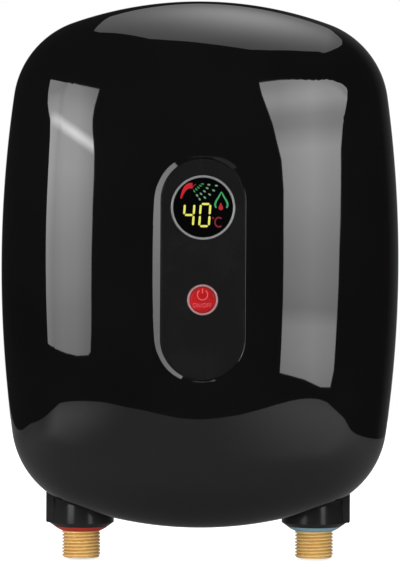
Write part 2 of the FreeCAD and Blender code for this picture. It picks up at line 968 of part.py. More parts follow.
def temperature_probe(x):
    # Probe clamped on the outlet pipe
    half = probe_saddle_width / 2
    low = probe_z - probe_saddle_height / 2
    high = probe_z + probe_saddle_height / 2
    saddle = block(x - half, x + half, pipe_axis_depth - probe_saddle_back,
                   pipe_axis_depth + probe_saddle_front, low, high)
    body = forward(probe_radius, x, probe_z, pipe_axis_depth, pipe_axis_depth + probe_reach)
    return saddle.fuse(body).cut(upright(pipe_radius, x, pipe_axis_depth, low - past,
                                         high + past))


def tank_box(inset, z0, z1):
    half = tank_width / 2 - inset
    shape = block(-half, half, tank_back + inset, tank_back + tank_depth - inset, z0, z1)
    edges = [e for e in shape.Edges if abs(abs(e.tangentAt(e.FirstParameter).z) - 1) < 0.01]
    return shape.makeFillet(max(tank_corner - inset, 1), edges)


def lid_screw_places():
    depth = tank_back + tank_depth / 2
    off = tank_depth / 2 + tank_flange / 2
    xs = (-lid_screw_spread, 0.0, lid_screw_spread)
    return [(x, depth + side * off) for x in xs for side in (-1, 1)]


def lid_flange(z0, z1):
    # Screw lugs in front of and behind the tank's mouth
    lugs = [tank_box(0, z0, z1)]
    for x, depth in lid_screw_places():
        lugs.append(upright(tank_flange, x, depth, z0, z1))
    return joined(lugs)


def lid_screw_holes(radius, z0, z1):
    return [upright(radius, x, depth, z0, z1) for x, depth in lid_screw_places()]


def heating_tank():
    body = tank_box(0, tank_bottom, tank_top)
    ears = []
    for x, z in tank_ear_places():
        half = ear_size / 2
        inner = math.copysign(tank_width / 2 - tank_corner, x)
        outer = math.copysign(abs(x) + half, x)
        ear = block(min(inner, outer), max(inner, outer), tank_back,
                    tank_back + ear_thickness, z - half, z + half)
        ears.append(ear.cut(forward(tank_screw_clearance, x, z, 0, tank_back + tank_depth)))
    body = joined([body, lid_flange(tank_top - tank_flange_height, tank_top)] + ears)
    body = body.cut(tank_box(tank_wall, tank_bottom + tank_wall, tank_top + 1))
    inner = tank_back + tank_wall
    baffle = block(-baffle_thickness / 2, baffle_thickness / 2, inner - 1,
                   tank_back + tank_depth - tank_wall + 1, tank_bottom + 1,
                   tank_top - baffle_gap)
    body = body.fuse(baffle)
    ports = [upright(pipe_radius, x, pipe_axis_depth, tank_bottom - 1, tank_bottom + tank_wall)
             for x in pipe_places().values()]
    return less(body, ports + lid_screw_holes(tank_screw_radius,
                                              tank_top - tank_flange_height - past,
                                              tank_top + past))


def lid_bottom():
    return tank_top + gasket_thickness


def lid_top():
    return lid_bottom() + lid_thickness


def tank_gasket():
    ring = lid_flange(tank_top, lid_bottom())
    ring = ring.cut(tank_box(tank_wall, tank_top - 1, lid_bottom() + 1))
    return less(ring, lid_screw_holes(tank_screw_clearance, tank_top - past,
                                      lid_bottom() + past))


def element_leg_places(side):
    middle = side * element_x
    return [middle - element_spacing / 2, middle + element_spacing / 2]


def element_depth():
    return tank_back + tank_depth / 2


def tank_lid():
    lid = lid_flange(lid_bottom(), lid_top())
    holes = lid_screw_holes(tank_screw_clearance, lid_bottom() - past, lid_top() + past)
    for side in (-1, 1):
        for x in element_leg_places(side):
            holes.append(upright(element_radius, x, element_depth(), tank_top, lid_top() + 1))
    return less(lid, holes)


def lid_screws():
    screws = []
    for x, depth in lid_screw_places():
        shank = upright(tank_screw_radius, x, depth, tank_top - tank_flange_height, lid_top())
        head = upright(lid_screw_head, x, depth, lid_top(), lid_top() + tank_screw_head_height)
        screws.append(shank.fuse(head))
    return Part.makeCompound(screws)


def tank_screws():
    screws = []
    for x, z in tank_ear_places():
        front = tank_back + ear_thickness
        shank = forward(tank_screw_radius, x, z, rear_wall + 1, front)
        head = forward(ear_screw_head, x, z, front, front + tank_screw_head_height)
        screws.append(shank.fuse(head))
    return Part.makeCompound(screws)


def heating_element(side):
    # Tubular heater bent to a U, with two blade terminals over the lid
    left, right = element_leg_places(side)
    depth = element_depth()
    top = lid_top() + element_rise
    bend = (right - left) / 2
    low = element_bottom + bend
    middle = (left + right) / 2
    path = Part.Wire([
        Part.makeLine(V(left, -depth, top), V(left, -depth, low)),
        Part.Arc(V(left, -depth, low), V(middle, -depth, low - bend),
                 V(right, -depth, low)).toShape(),
        Part.makeLine(V(right, -depth, low), V(right, -depth, top))])
    circle = Part.makeCircle(element_radius, V(left, -depth, top), Z_AXIS)
    tube = path.makePipeShell([Part.Wire([circle])], True, False)
    pieces = [tube]
    for x in (left, right):
        half_w = terminal_blade_width / 2
        half_t = terminal_blade_thickness / 2
        pieces.append(block(x - half_w, x + half_w, depth - half_t, depth + half_t, top - 0.5,
                            top + element_terminal))
    return joined(pieces)


def cutout_top():
    return lid_top() + cutout_height


def thermal_cutout():
    depth = element_depth()
    body = upright(cutout_radius, 0, depth, lid_top(), cutout_top())
    flange = upright(cutout_flange, 0, depth, lid_top(), lid_top() + cutout_flange_thickness)
    bore = upright(reset_radius + reset_gap, 0, depth, cutout_top() - cutout_bore,
                   cutout_top() + past)
    return body.fuse(flange).cut(bore)


def reset_button():
    # Sits in the cut-out with room below it for its travel
    bottom = cutout_top() - cutout_bore + reset_travel + reset_room
    return upright(reset_radius, 0, element_depth(), bottom, cutout_top() + reset_rise)


def power_board_back():
    return tank_back + tank_depth + power_board_gap


def power_board():
    half = power_board_width / 2
    back = power_board_back()
    return block(-half, half, back, back + board_thickness, power_board_bottom, power_board_top)


def board_spacers():
    pillars = []
    for x in (-1, 1):
        for z in (power_board_bottom + spacer_inset, power_board_top - spacer_inset):
            place = x * (power_board_width / 2 - spacer_inset)
            pillars.append(forward(spacer_radius, place, z, tank_back + tank_depth,
                                   power_board_back()))
    return Part.makeCompound(pillars)


def on_power_board(width, height, depth, x, z):
    front = power_board_back() + board_thickness
    body = block(x - width / 2, x + width / 2, front, front + depth, z - height / 2,
                 z + height / 2)
    front_edges = [e for e in body.Edges if e.CenterOfMass.y < -front - depth + 0.1]
    return body.makeFillet(component_edge, front_edges)


def capacitor():
    front = power_board_back() + board_thickness
    return forward(capacitor_radius, capacitor_x, small_parts_z, front, front + capacitor_height)


def heat_sink_middle():
    return (sensor_top + tank_bottom) / 2 + heat_sink_rise


def heat_sink(x):
    # Aluminium block clamped on the cold pipe, cooled by the incoming water
    half = heat_sink_width / 2
    low = heat_sink_middle() - heat_sink_height / 2
    high = heat_sink_middle() + heat_sink_height / 2
    body = block(x - half, x + half, pipe_axis_depth - heat_sink_depth,
                 pipe_axis_depth + heat_sink_depth, low, high)
    return body.cut(upright(pipe_radius, x, pipe_axis_depth, low - past, high + past))


def triac(x, side):
    # Flat power switch on the heat sink: tab behind, moulded body in front
    front = pipe_axis_depth + heat_sink_depth
    z = heat_sink_middle()
    left = x + side * triac_offset - triac_half_width
    right = x + side * triac_offset + triac_half_width
    tab = block(left, right, front, front + triac_tab, z - triac_bottom, z + triac_tab_top)
    body = block(left, right, front, front + triac_front, z - triac_bottom, z + triac_body_top)
    hole = forward(triac_hole_radius, (left + right) / 2, z + triac_hole_z, front - past,
                   front + triac_tab + past)
    return tab.fuse(body).cut(hole)


def terminal_back():
    return rear_wall + terminal_stand


def terminal_block():
    back = terminal_back()
    half = terminal_width / 2
    low = terminal_z - terminal_height / 2
    high = terminal_z + terminal_height / 2
    body = block(-half, half, back, back + terminal_depth, low, high)
    wells = []
    front = back + terminal_depth
    for x in (-terminal_well_pitch, 0.0, terminal_well_pitch):
        for z in (terminal_z - terminal_well_row, terminal_z + terminal_well_row):
            wells.append(forward(terminal_well_radius, x, z, front - terminal_well_depth,
                                 front + past))
    return less(body, wells)


def leakage_coil():
    # Ring core on a saddle that stands on the terminal block
    back = terminal_back()
    depth = back + coil_thickness + coil_stand
    section = []
    for i in range(coil_sides):
        turn = 2 * math.pi * (i + 0.5) / coil_sides
        section.append((coil_radius + coil_thickness * math.cos(turn),
                        depth + coil_thickness * math.sin(turn)))
    ring = turned(section, 0, coil_z)
    foot = block(-coil_foot / 2, coil_foot / 2, back, depth + coil_stand,
                 terminal_z + terminal_height / 2, coil_z - coil_radius)
    return ring.fuse(foot)


def cable_grommet():
    # Rubber bush for the supply cable in the housing's bottom
    seat = grommet_seat()
    low = seat - grommet_flange_thickness
    high = grommet_ceiling() + grommet_rise
    neck = upright(grommet_radius, 0, pipe_axis_depth, low, high)
    flange = upright(grommet_flange, 0, pipe_axis_depth, low, seat)
    return neck.fuse(flange).cut(upright(grommet_bore, 0, pipe_axis_depth, low - past,
                                         high + past))


def cord_clamp():
    # Strain relief: a bar on two pillars from the housing's back
    z = grommet_ceiling() + clamp_rise
    front = pipe_axis_depth + grommet_bore
    bar = block(-clamp_width / 2, clamp_width / 2, front, front + clamp_thickness,
                z - clamp_height / 2, z + clamp_height / 2)
    pillars = [forward(clamp_pillar_radius, x, z, rear_wall, front + clamp_thickness / 2)
               for x in (-clamp_pillar_x, clamp_pillar_x)]
    return joined([bar] + pillars)


def earth_terminal():
    # Brass stud with a nut under the tank
    depth = element_depth()
    stud = upright(earth_stud_radius, earth_x, depth, tank_bottom - earth_length, tank_bottom)
    nut = upright(earth_nut_radius, earth_x, depth, tank_bottom - earth_nut_low,
                  tank_bottom - earth_nut_high)
    return stud.fuse(nut)


def display_ribbon():
    # Flat cable from the control board back to the power board
    front = board_back
    back = power_board_back() + board_thickness
    half = ribbon_plug_width / 2
    low = ribbon_z - ribbon_plug_height / 2
    high = ribbon_z + ribbon_plug_height / 2
    plug = block(-half, half, front - ribbon_plug_depth, front, low, high)
    socket = block(-half, half, back, back + ribbon_socket_depth, low, high)
    strip = block(-ribbon_width / 2, ribbon_width / 2, back + ribbon_socket_depth,
                  front - ribbon_plug_depth, ribbon_z - ribbon_thickness / 2,
                  ribbon_z + ribbon_thickness / 2)
    return joined([plug, socket, strip])


def export(name, shape):
    solids = len(shape.Solids)
    print(f"{name}: {solids} solid(s), {shape.Volume / 1000:.2f} cm3, valid {shape.isValid()}")
    shape.exportStep(f"parts/{name}.step")


def export_pipework(places):
    for name, x in places.items():
        export(f"{name}_collar", collar(x))
        export(f"{name}_ring", colour_ring(x))
        export(f"{name}_fitting", fitting(x))
        export(f"{name}_fitting_seal", fitting_seal(x))
    cold = places["cold"]
    hot = places["hot"]
    low, high = guide_levels()
    export("inlet_filter", inlet_filter(cold))
    export("flow_sensor_body", flow_sensor_body(cold))
    export("flow_guide_lower", flow_guide(cold, low))
    export("flow_guide_upper", flow_guide(cold, high))
    export("rotor_shaft", rotor_shaft(cold))
    export("flow_rotor", flow_rotor(cold))
    export("hall_sensor", hall_sensor(cold))
    export("inlet_pipe", water_pipe(cold, sensor_top))
    export("outlet_pipe", water_pipe(hot, fitting_top))
    export("temperature_probe", temperature_probe(hot))
    export("heat_sink", heat_sink(cold))
    export("triac_left", triac(cold, -1))
    export("triac_right", triac(cold, 1))


def export_tank():
    export("heating_tank", heating_tank())
    export("tank_gasket", tank_gasket())
    export("tank_lid", tank_lid())
    export("lid_screws", lid_screws())
    export("tank_screws", tank_screws())
    export("heating_element_left", heating_element(-1))
    export("heating_element_right", heating_element(1))
    export("thermal_cutout", thermal_cutout())
    export("reset_button", reset_button())
    export("earth_terminal", earth_terminal())


def export_electrics():
    export("power_board", power_board())
    export("board_spacers", board_spacers())
    for name, x in (("relay_left", -relay_x), ("relay_right", relay_x)):
        export(name, on_power_board(relay_width, relay_height, relay_depth, x, relay_z))
    export("supply_transformer", on_power_board(transformer_width, transformer_height,
                                                transformer_depth, transformer_x,
                                                small_parts_z))
    export("capacitor", capacitor())
    export("terminal_block", terminal_block())
    export("leakage_coil", leakage_coil())
    export("cord_clamp", cord_clamp())
    export("cable_grommet", cable_grommet())
    export("display_ribbon", display_ribbon())


def export_front():
    export("control_panel", control_panel())
    export("display_bezel", display_bezel())
    export("display_lens", display_lens())
    export("display_module", display_module())
    export("button_ring", button_ring())
    export("power_button", power_button())
    export("switch_plunger", switch_plunger())
    export("tact_switch", tact_switch())
    export("control_board", control_board())
    export("control_board_screws", control_board_screws())


os.makedirs("parts", exist_ok=True)
export("front_cover", front_cover())
export("rear_housing", rear_housing())
export("housing_gasket", housing_gasket())
export("cover_screws", cover_screws())
export_front()
export_pipework(pipe_places())
export_tank()
export_electrics()
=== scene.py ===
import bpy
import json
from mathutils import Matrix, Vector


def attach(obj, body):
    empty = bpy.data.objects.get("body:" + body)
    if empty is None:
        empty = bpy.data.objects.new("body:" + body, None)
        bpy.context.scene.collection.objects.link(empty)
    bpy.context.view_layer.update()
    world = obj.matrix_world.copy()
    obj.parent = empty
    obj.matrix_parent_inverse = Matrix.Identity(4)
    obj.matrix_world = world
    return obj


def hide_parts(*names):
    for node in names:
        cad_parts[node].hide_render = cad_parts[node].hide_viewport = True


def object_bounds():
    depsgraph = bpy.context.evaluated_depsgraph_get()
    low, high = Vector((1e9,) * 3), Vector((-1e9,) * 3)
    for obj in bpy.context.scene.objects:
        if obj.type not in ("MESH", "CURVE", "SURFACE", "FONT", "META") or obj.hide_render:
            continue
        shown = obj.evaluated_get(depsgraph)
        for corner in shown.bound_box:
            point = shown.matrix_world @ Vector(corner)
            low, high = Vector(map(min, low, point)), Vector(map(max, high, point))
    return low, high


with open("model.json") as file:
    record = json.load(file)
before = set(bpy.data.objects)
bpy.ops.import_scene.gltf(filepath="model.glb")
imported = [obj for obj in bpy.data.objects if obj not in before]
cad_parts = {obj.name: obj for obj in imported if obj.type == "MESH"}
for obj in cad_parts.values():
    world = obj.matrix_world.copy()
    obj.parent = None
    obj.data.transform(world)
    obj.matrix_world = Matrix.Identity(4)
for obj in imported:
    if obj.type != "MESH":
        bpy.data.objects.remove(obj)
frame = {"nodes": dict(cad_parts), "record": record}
cadBox = [list(corner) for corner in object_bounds()]

import json
import math
import bmesh
import bpy
from mathutils import Matrix, Vector

scene = bpy.context.scene
mm = 0.001


def inMm(**sizes):
    return {name: size * mm for name, size in sizes.items()}


# The body's form: a flat-arched outline, a shallow crown and a round edge, and where its screws are
form = {**inMm(width=216, height=286, topRadius=207, sideRadius=655, cornerRadius=49, rearDepth=42,
               coverDepth=52, crownX=244, crownZ=900, wall=2.6, skirt=2, lipFront=92.82,
               screwX=85, screwZ=97), "crownFlat": 2.6}

# The control panel's slot, and how the cover slopes down to it
slot = {**inMm(width=44.5, height=117, centreZ=-2.5, front=91.55, panelThick=2, fit=0.15, ledge=3.2,
               ledgeThick=1.6), "slope": 0.2379, "endShare": 0.16}
slotSeat = slot["front"] - slot["panelThick"]
slotBack = slotSeat - slot["ledgeThick"]

body = "body"
buttonBody = "power_button_body"
brassX = inMm(hot=-64.3, cold=64.3)
pipeDepth = 20.5 * mm


# Small helpers for node trees

def addNode(tree, kind, inputs=None, **settings):
    node = tree.nodes.new(kind)
    for key, value in settings.items():
        setattr(node, key, value)
    feed(node, inputs or {})
    return node


def feed(node, inputs):
    for key, value in inputs.items():
        if isinstance(value, bpy.types.NodeSocket):
            node.id_data.links.new(value, node.inputs[key])
        else:
            node.inputs[key].default_value = value


def wire(tree, kind, inputs=None, output=0, **settings):
    # One output of a new node
    return addNode(tree, kind, inputs, **settings).outputs[output]


def calc(operation, a, b=0.0, c=0.0):
    return wire(a.id_data, "ShaderNodeMath", {0: a, 1: b, 2: c}, operation=operation)


def chained(operation):
    def work(first, *others):
        for other in others:
            first = calc(operation, first, other)
        return first
    return work


plus, minus, times, over = map(chained, ("ADD", "SUBTRACT", "MULTIPLY", "DIVIDE"))


def axes(vector):
    return list(addNode(vector.id_data, "ShaderNodeSeparateXYZ", {"Vector": vector}).outputs)


def farFrom(dx, dy):
    return calc("SQRT", plus(times(dx, dx), times(dy, dy)))


def spread(value, low, high, start=0.3, end=0.7, **settings):
    return wire(value.id_data, "ShaderNodeMapRange", {
        "Value": value, "From Min": start, "From Max": end, "To Min": low, "To Max": high}, **settings)


def eased(value, low, high, start, end):
    return spread(value, low, high, start, end, interpolation_type="SMOOTHSTEP")


def blend(factor, low, high):
    return wire(factor.id_data, "ShaderNodeMix", {"Factor": factor, 4: low, 5: high}, 1, data_type="VECTOR")


def vectorMath(operation, a, b=None, output=0):
    inputs = {0: a} if b is None else {0: a, 1: b}
    return wire(a.id_data, "ShaderNodeVectorMath", inputs, output, operation=operation)


def ramp(value, stops):
    node = addNode(value.id_data, "ShaderNodeValToRGB", {"Fac": value})
    marks = node.color_ramp.elements
    while len(marks) < len(stops):
        marks.new(0.5)
    for mark, (place, colour) in zip(marks, stops):
        mark.position = place
        mark.color = (*colour, 1.0)
    return node.outputs["Color"]


def noise(place, scale, detail=3.0, roughness=0.5):
    return wire(place.id_data, "ShaderNodeTexNoise", {
        "Vector": place, "Scale": scale, "Detail": detail, "Roughness": roughness}, "Fac")


def objectPlace(tree):
    return wire(tree, "ShaderNodeTexCoord", output="Object")


def newMaterial(name, empty=False):
    # A material, its node tree, and the place on the object
    material = bpy.data.materials.new(name)
    material.use_nodes = True
    tree = material.node_tree
    if empty:
        tree.nodes.clear()
    return material, tree, objectPlace(tree)


# Materials. Noise scales are per metre, bump and swell are micrometres, and a single number is a grey

defaultLook = {
    "dark": 0.01, "light": 0.02, "cloud": 40, "cloudShare": 0.65, "rough": (0.25, 0.35),
    "grain": 1500, "bump": 20, "wave": 30, "swell": 0, "metal": 0.0,
    "specular": 0.5, "coat": 0.0, "coatRough": 0.05, "stretch": (1.0, 1.0, 1.0),
}


def colourOf(value):
    return value if isinstance(value, tuple) else (value,) * 3


def makeFinish(name, **changes):
    look = {**defaultLook, **changes}
    material, tree, place = newMaterial(name)
    along = wire(tree, "ShaderNodeMapping", {"Vector": place, "Scale": look["stretch"]})
    grain = noise(along, look["grain"], 4.0, 0.6)
    cloud = times(noise(place, look["cloud"], 4.0), look["cloudShare"])
    shade = calc("MULTIPLY_ADD", grain, 1 - look["cloudShare"], cloud)
    height = times(grain, look["bump"] * 1e-6)
    if look["swell"]:
        height = calc("MULTIPLY_ADD", noise(place, look["wave"], 1.0), look["swell"] * 1e-6, height)
    dark, light = colourOf(look["dark"]), colourOf(look["light"])
    feed(tree.nodes["Principled BSDF"], {
        "Base Color": ramp(shade, [(0.35, dark), (0.65, light)]), "Roughness": spread(shade, *look["rough"]),
        "Normal": wire(tree, "ShaderNodeBump", {"Height": height, "Strength": 1.0, "Distance": 1.0}),
        "Metallic": look["metal"], "Specular IOR Level": look["specular"],
        "Coat Weight": look["coat"], "Coat Roughness": look["coatRough"]})
    material.diffuse_color = (*light, 1.0)
    return material


glowLook = {"patches": 700, "weakest": 0.86, "strength": 1.0, "off": {
    "dark": 0.004, "light": 0.006, "rough": (0.08, 0.12), "bump": 0}}


def makeGlow(name, colour):
    # Lit display mark under the lens gloss, slightly brighter in places
    material = makeFinish(name, **glowLook["off"])
    patches = noise(objectPlace(material.node_tree), glowLook["patches"], 2.0)
    weak = tuple(glowLook["weakest"] * part for part in colour)
    feed(material.node_tree.nodes["Principled BSDF"], {
        "Emission Color": ramp(patches, [(0.3, weak), (0.6, colour)]),
        "Emission Strength": glowLook["strength"]})
    return material


finishLooks = {
    "gloss_black": dict(dark=(0.0025, 0.0025, 0.0026), light=(0.0038, 0.0038, 0.004), cloud=18,
                        rough=(0.012, 0.03), grain=2600, bump=0.2, wave=22, swell=40, specular=0.95),
    "collar_black": dict(dark=0.013, light=0.019, rough=(0.16, 0.22), grain=2600, bump=1, specular=0.34),
    "housing_black": dict(name="satinBlack", dark=(0.011, 0.011, 0.012), light=(0.019, 0.019, 0.02),
                          rough=(0.34, 0.46), grain=2400, bump=30),
    "smoked_panel": dict(name="panelFilm", dark=(0.0056, 0.0056, 0.006), light=(0.0079, 0.0079, 0.0083),
                         rough=(0.22, 0.3), grain=3200, bump=4, specular=0.4),
    "smoked_lens": dict(name="lensBlack", dark=(0.0008, 0.0008, 0.001), light=(0.0014, 0.0014, 0.0016),
                        rough=(0.05, 0.09), grain=2600, bump=0, specular=0.35),
    "bright_trim": dict(dark=(0.31, 0.31, 0.315), light=(0.38, 0.38, 0.385), metal=0.45, rough=(0.26, 0.36),
                        grain=2500, bump=5, stretch=(1.0, 1.0, 6.0)),
    "rose_trim": dict(dark=(0.5, 0.27, 0.28), light=(0.6, 0.33, 0.34), metal=0.45, rough=(0.26, 0.36),
                      grain=2500, bump=5),
    "button_red": dict(dark=(0.34, 0.004, 0.006), light=(0.45, 0.006, 0.008), cloud=120, rough=(0.25, 0.34),
                       specular=0.25, grain=2200, bump=4),
    "hot_red": dict(dark=(0.52, 0.03, 0.016), light=(0.65, 0.045, 0.022), rough=(0.3, 0.4), specular=0.25,
                    grain=2000, bump=10),
    "cold_blue": dict(dark=(0.23, 0.43, 0.56), light=(0.31, 0.52, 0.65), rough=(0.3, 0.4), specular=0.25,
                      grain=2000, bump=10),
    "brass": dict(dark=(0.9, 0.56, 0.19), light=(1.0, 0.72, 0.29), metal=0.1, rough=(0.24, 0.32),
                  grain=1800, bump=6, stretch=(0.2, 0.2, 3.0)),
    "rubber_black": dict(dark=0.012, light=0.022, rough=(0.6, 0.75), bump=40),
    "steel": dict(name="zincSteel", dark=(0.36, 0.36, 0.35), light=(0.55, 0.55, 0.53), metal=1.0,
                  rough=(0.3, 0.45), grain=1600, bump=10),
    "stainless": dict(dark=(0.42, 0.42, 0.43), light=0.6, metal=1.0, rough=(0.24, 0.36), grain=1600,
                      bump=10, stretch=(1.0, 1.0, 0.1)),
    "copper": dict(dark=(0.6, 0.24, 0.12), light=(0.82, 0.4, 0.24), metal=1.0, rough=(0.25, 0.4),
                   grain=900),
    "aluminium": dict(dark=(0.5, 0.51, 0.52), light=(0.68, 0.69, 0.7), metal=1.0, rough=(0.32, 0.45),
                      grain=1800, bump=10, stretch=(0.2, 1.0, 1.0)),
    "tank_polymer": dict(dark=(0.4, 0.38, 0.33), light=(0.5, 0.48, 0.42), rough=(0.4, 0.5), grain=1300,
                         bump=30),
    "board_green": dict(dark=(0.01, 0.09, 0.04), light=(0.02, 0.16, 0.07), rough=(0.3, 0.4), grain=800,
                        bump=10, coat=0.4),
    "part_white": dict(dark=(0.62, 0.61, 0.58), light=(0.72, 0.71, 0.68), rough=(0.4, 0.5)),
    "part_black": dict(dark=0.014, light=0.026, rough=(0.38, 0.5)),
    "relay_blue": dict(dark=(0.01, 0.06, 0.22), light=(0.02, 0.1, 0.32), rough=(0.3, 0.4)),
    "core_green": dict(dark=(0.02, 0.12, 0.08), light=(0.03, 0.18, 0.12), rough=(0.35, 0.5)),
    "cable_grey": dict(dark=0.24, light=0.34, rough=(0.4, 0.5)),
}


def camelName(key):
    first, *others = key.split("_")
    return first + "".join(word.capitalize() for word in others)


finishes = {key: makeFinish(**{"name": camelName(key), **look}) for key, look in finishLooks.items()}

# Painted shade in the thread roots: darkest within deep, gone beyond clear
rootShadeLook = {**inMm(deep=9.4, clear=10.2), "shade": (0.78, 0.62, 0.34)}


def paintRootShade(material, look):
    # Painted shade: threads are darker in their roots, by the distance from the pipe's axis
    shader = material.node_tree.nodes["Principled BSDF"]
    plain = shader.inputs["Base Color"].links[0].from_socket
    x, y = axes(objectPlace(material.node_tree))[:2]
    away = farFrom(minus(calc("ABSOLUTE", x), brassX["cold"]), plus(y, pipeDepth))
    paintedShade = blend(spread(away, 0.0, 1.0, look["deep"], look["clear"]), look["shade"], (1.0, 1.0, 1.0))
    feed(shader, {"Base Color": vectorMath("MULTIPLY", plain, paintedShade)})


# The brass gets painted shade in its thread roots
paintRootShade(finishes["brass"], rootShadeLook)

glowColours = {
    "yellow": (0.86, 0.84, 0.15), "green": (0.055, 0.36, 0.13), "leaf": (0.04, 0.28, 0.09),
    "pale": (0.16, 0.3, 0.19), "red": (0.56, 0.015, 0.028), "dim": (0.45, 0.018, 0.035),
    "dull": (0.2, 0.018, 0.028),
}
glows = {key: makeGlow("glow" + key.capitalize(), colour) for key, colour in glowColours.items()}
markInk = makeFinish("markInk", dark=(0.6, 0.07, 0.08), light=(0.7, 0.1, 0.11), rough=(0.3, 0.4),
                     grain=2500, bump=2)
print("finishes made:", len(finishes) + len(glows) + 1)


# Mesh helpers

def placed(name, data):
    thing = bpy.data.objects.new(name, data)
    scene.collection.objects.link(thing)
    return thing


def newObject(name, mesh, material):
    mesh.materials.clear()
    mesh.materials.append(material)
    return placed(name, mesh)


def shaded(mesh, sharp):
    mesh.shade_smooth()
    mesh.set_sharp_from_angle(angle=math.radians(sharp))


def meshFrom(name, points, faces, material, sharp=32.0, weld=0.001 * mm, sliver=0.0005 * mm):
    mesh = bpy.data.meshes.new(name)
    mesh.from_pydata([tuple(p) for p in points], [], faces)
    shape = bmesh.new()
    shape.from_mesh(mesh)
    bmesh.ops.remove_doubles(shape, verts=shape.verts, dist=weld)
    bmesh.ops.dissolve_degenerate(shape, edges=shape.edges, dist=sliver)
    bmesh.ops.recalc_face_normals(shape, faces=shape.faces)
    shape.to_mesh(mesh)
    shape.free()
    shaded(mesh, sharp)
    return newObject(name, mesh, material)


def bend(start, corner, end, t):
    return start * (1 - t) ** 2 + corner * 2 * t * (1 - t) + end * t * t


def softened(profile, steps=4, most=0.4, lead=1.2):
    # Rounds the corners of a closed (radius, along) profile; a third number is the corner's radius
    made = []
    count = len(profile)
    for i, (r, a, *extra) in enumerate(profile):
        here = Vector((r, a))
        before = Vector(profile[i - 1][:2]) - here
        after = Vector(profile[(i + 1) % count][:2]) - here
        if not extra:
            made.append((r, a))
            continue
        turn = before.angle(after)
        reach = min(extra[0] / math.tan(turn / 2), before.length * most, after.length * most)
        start = here + before.normalized() * reach
        end = here + after.normalized() * reach
        made.append(tuple(here + before.normalized() * reach * lead))
        made += [tuple(bend(start, here, end, k / steps)) for k in range(steps + 1)]
        made.append(tuple(here + after.normalized() * reach * lead))
    return made


def ringFaces(turns, count):
    # Faces between closed sections that stand in a ring
    faces = []
    for k in range(turns):
        here, after = k * count, (k + 1) % turns * count
        for i in range(count):
            j = (i + 1) % count
            faces.append((here + i, here + j, after + j, after + i))
    return faces


def lathe(name, profile, x, off, material, steps=96, sharp=32.0, upright=False):
    # Turned from a closed profile of (radius, along), about an axis that points forward or up
    points = []
    for k in range(steps):
        turn = 2 * math.pi * k / steps
        for r, a in profile:
            across, other = x + r * math.cos(turn), off + r * math.sin(turn)
            points.append((across, other, a) if upright else (across, -a, other))
    return meshFrom(name, points, ringFaces(steps, len(profile)), material, sharp)


def plainMesh(piece, name=None):
    # The evaluated object as a plain mesh of its own
    bpy.context.view_layer.update()
    graph = bpy.context.evaluated_depsgraph_get()
    mesh = bpy.data.meshes.new_from_object(piece.evaluated_get(graph), depsgraph=graph)
    mesh.name = name or piece.name
    return mesh


def bake(piece):
    mesh = plainMesh(piece)
    piece.modifiers.clear()
    piece.data = mesh
    return piece


def curveMesh(name, curve):
    # The filled form of a curve or a text
    holder = placed(name + "Curve", curve)
    mesh = plainMesh(holder, name)
    bpy.data.objects.remove(holder)
    return mesh


def remade(name, mesh, material):
    points = [v.co.copy() for v in mesh.vertices]
    return meshFrom(name, points, [tuple(p.vertices) for p in mesh.polygons], material)


def plate(name, loops, front, thick, material, edge=0.0, edgeSteps=2):
    # A flat piece facing forward, from closed (x, z) outlines; the later ones are holes
    curve = bpy.data.curves.new(name, "CURVE")
    curve.dimensions = "2D"
    curve.fill_mode = "BOTH"
    curve.extrude = thick / 2 - edge
    curve.bevel_depth = edge
    curve.bevel_resolution = edgeSteps
    curve.offset = -edge
    for loop in loops:
        spline = curve.splines.new("POLY")
        spline.points.add(len(loop) - 1)
        for point, (x, z) in zip(spline.points, loop):
            point.co = (x, z, 0.0, 1.0)
        spline.use_cyclic_u = True
    mesh = curveMesh(name, curve)
    mesh.transform(Matrix.Translation((0, -(front - thick / 2), 0)) @ Matrix.Rotation(math.pi / 2, 4, "X"))
    return remade(name, mesh, material)


def arcPath(x, z, radius, start, end, steps=24):
    turns = [math.radians(start + (end - start) * k / steps) for k in range(steps + 1)]
    return [(x + radius * math.cos(turn), z + radius * math.sin(turn)) for turn in turns]


def circle(x, z, radius, count=96):
    return arcPath(x, z, radius, 0, 360, count)[:-1]


def addBox(shape, size, middle):
    verts = bmesh.ops.create_cube(shape, size=1.0)["verts"]
    bmesh.ops.scale(shape, vec=size, verts=verts)
    bmesh.ops.translate(shape, vec=middle, verts=verts)
    return verts


def finishedMesh(name, shape):
    mesh = bpy.data.meshes.new(name)
    shape.to_mesh(mesh)
    shape.free()
    return mesh


def joinPieces(name, pieces):
    main = pieces[0]
    whole = bmesh.new()
    for piece in pieces:
        whole.from_mesh(piece.data)
    whole.to_mesh(main.data)
    whole.free()
    for piece in pieces[1:]:
        bpy.data.objects.remove(piece)
    main.name = name
    main.data.name = name
    return main


def evenNormals(piece):
    # Large flat faces keep their own shading beside small rounded edges
    weigh = piece.modifiers.new("weigh", "WEIGHTED_NORMAL")
    weigh.mode = "FACE_AREA"
    weigh.keep_sharp = True
    bake(piece)


def settle(piece, bodyName, slotName, *nodes):
    if piece.name != "frontCover":  # its own normals are even already
        evenNormals(piece)
    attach(piece, bodyName)
    if nodes:
        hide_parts(*nodes)
    return piece


# The cover's surface

def unit2(x, z):
    length = math.hypot(x, z)
    return x / length, z / length


def cornerCentre():
    topZ = form["height"] / 2 - form["topRadius"]
    sideX = form["width"] / 2 - form["sideRadius"]
    gap = math.hypot(sideX, topZ)
    reachTop = form["topRadius"] - form["cornerRadius"]
    reachSide = form["sideRadius"] - form["cornerRadius"]
    along = (reachTop ** 2 - reachSide ** 2 + gap ** 2) / (2 * gap)
    across = math.sqrt(reachTop ** 2 - along ** 2)
    ux, uz = unit2(sideX, -topZ)
    return along * ux + across * uz, topZ + along * uz - across * ux


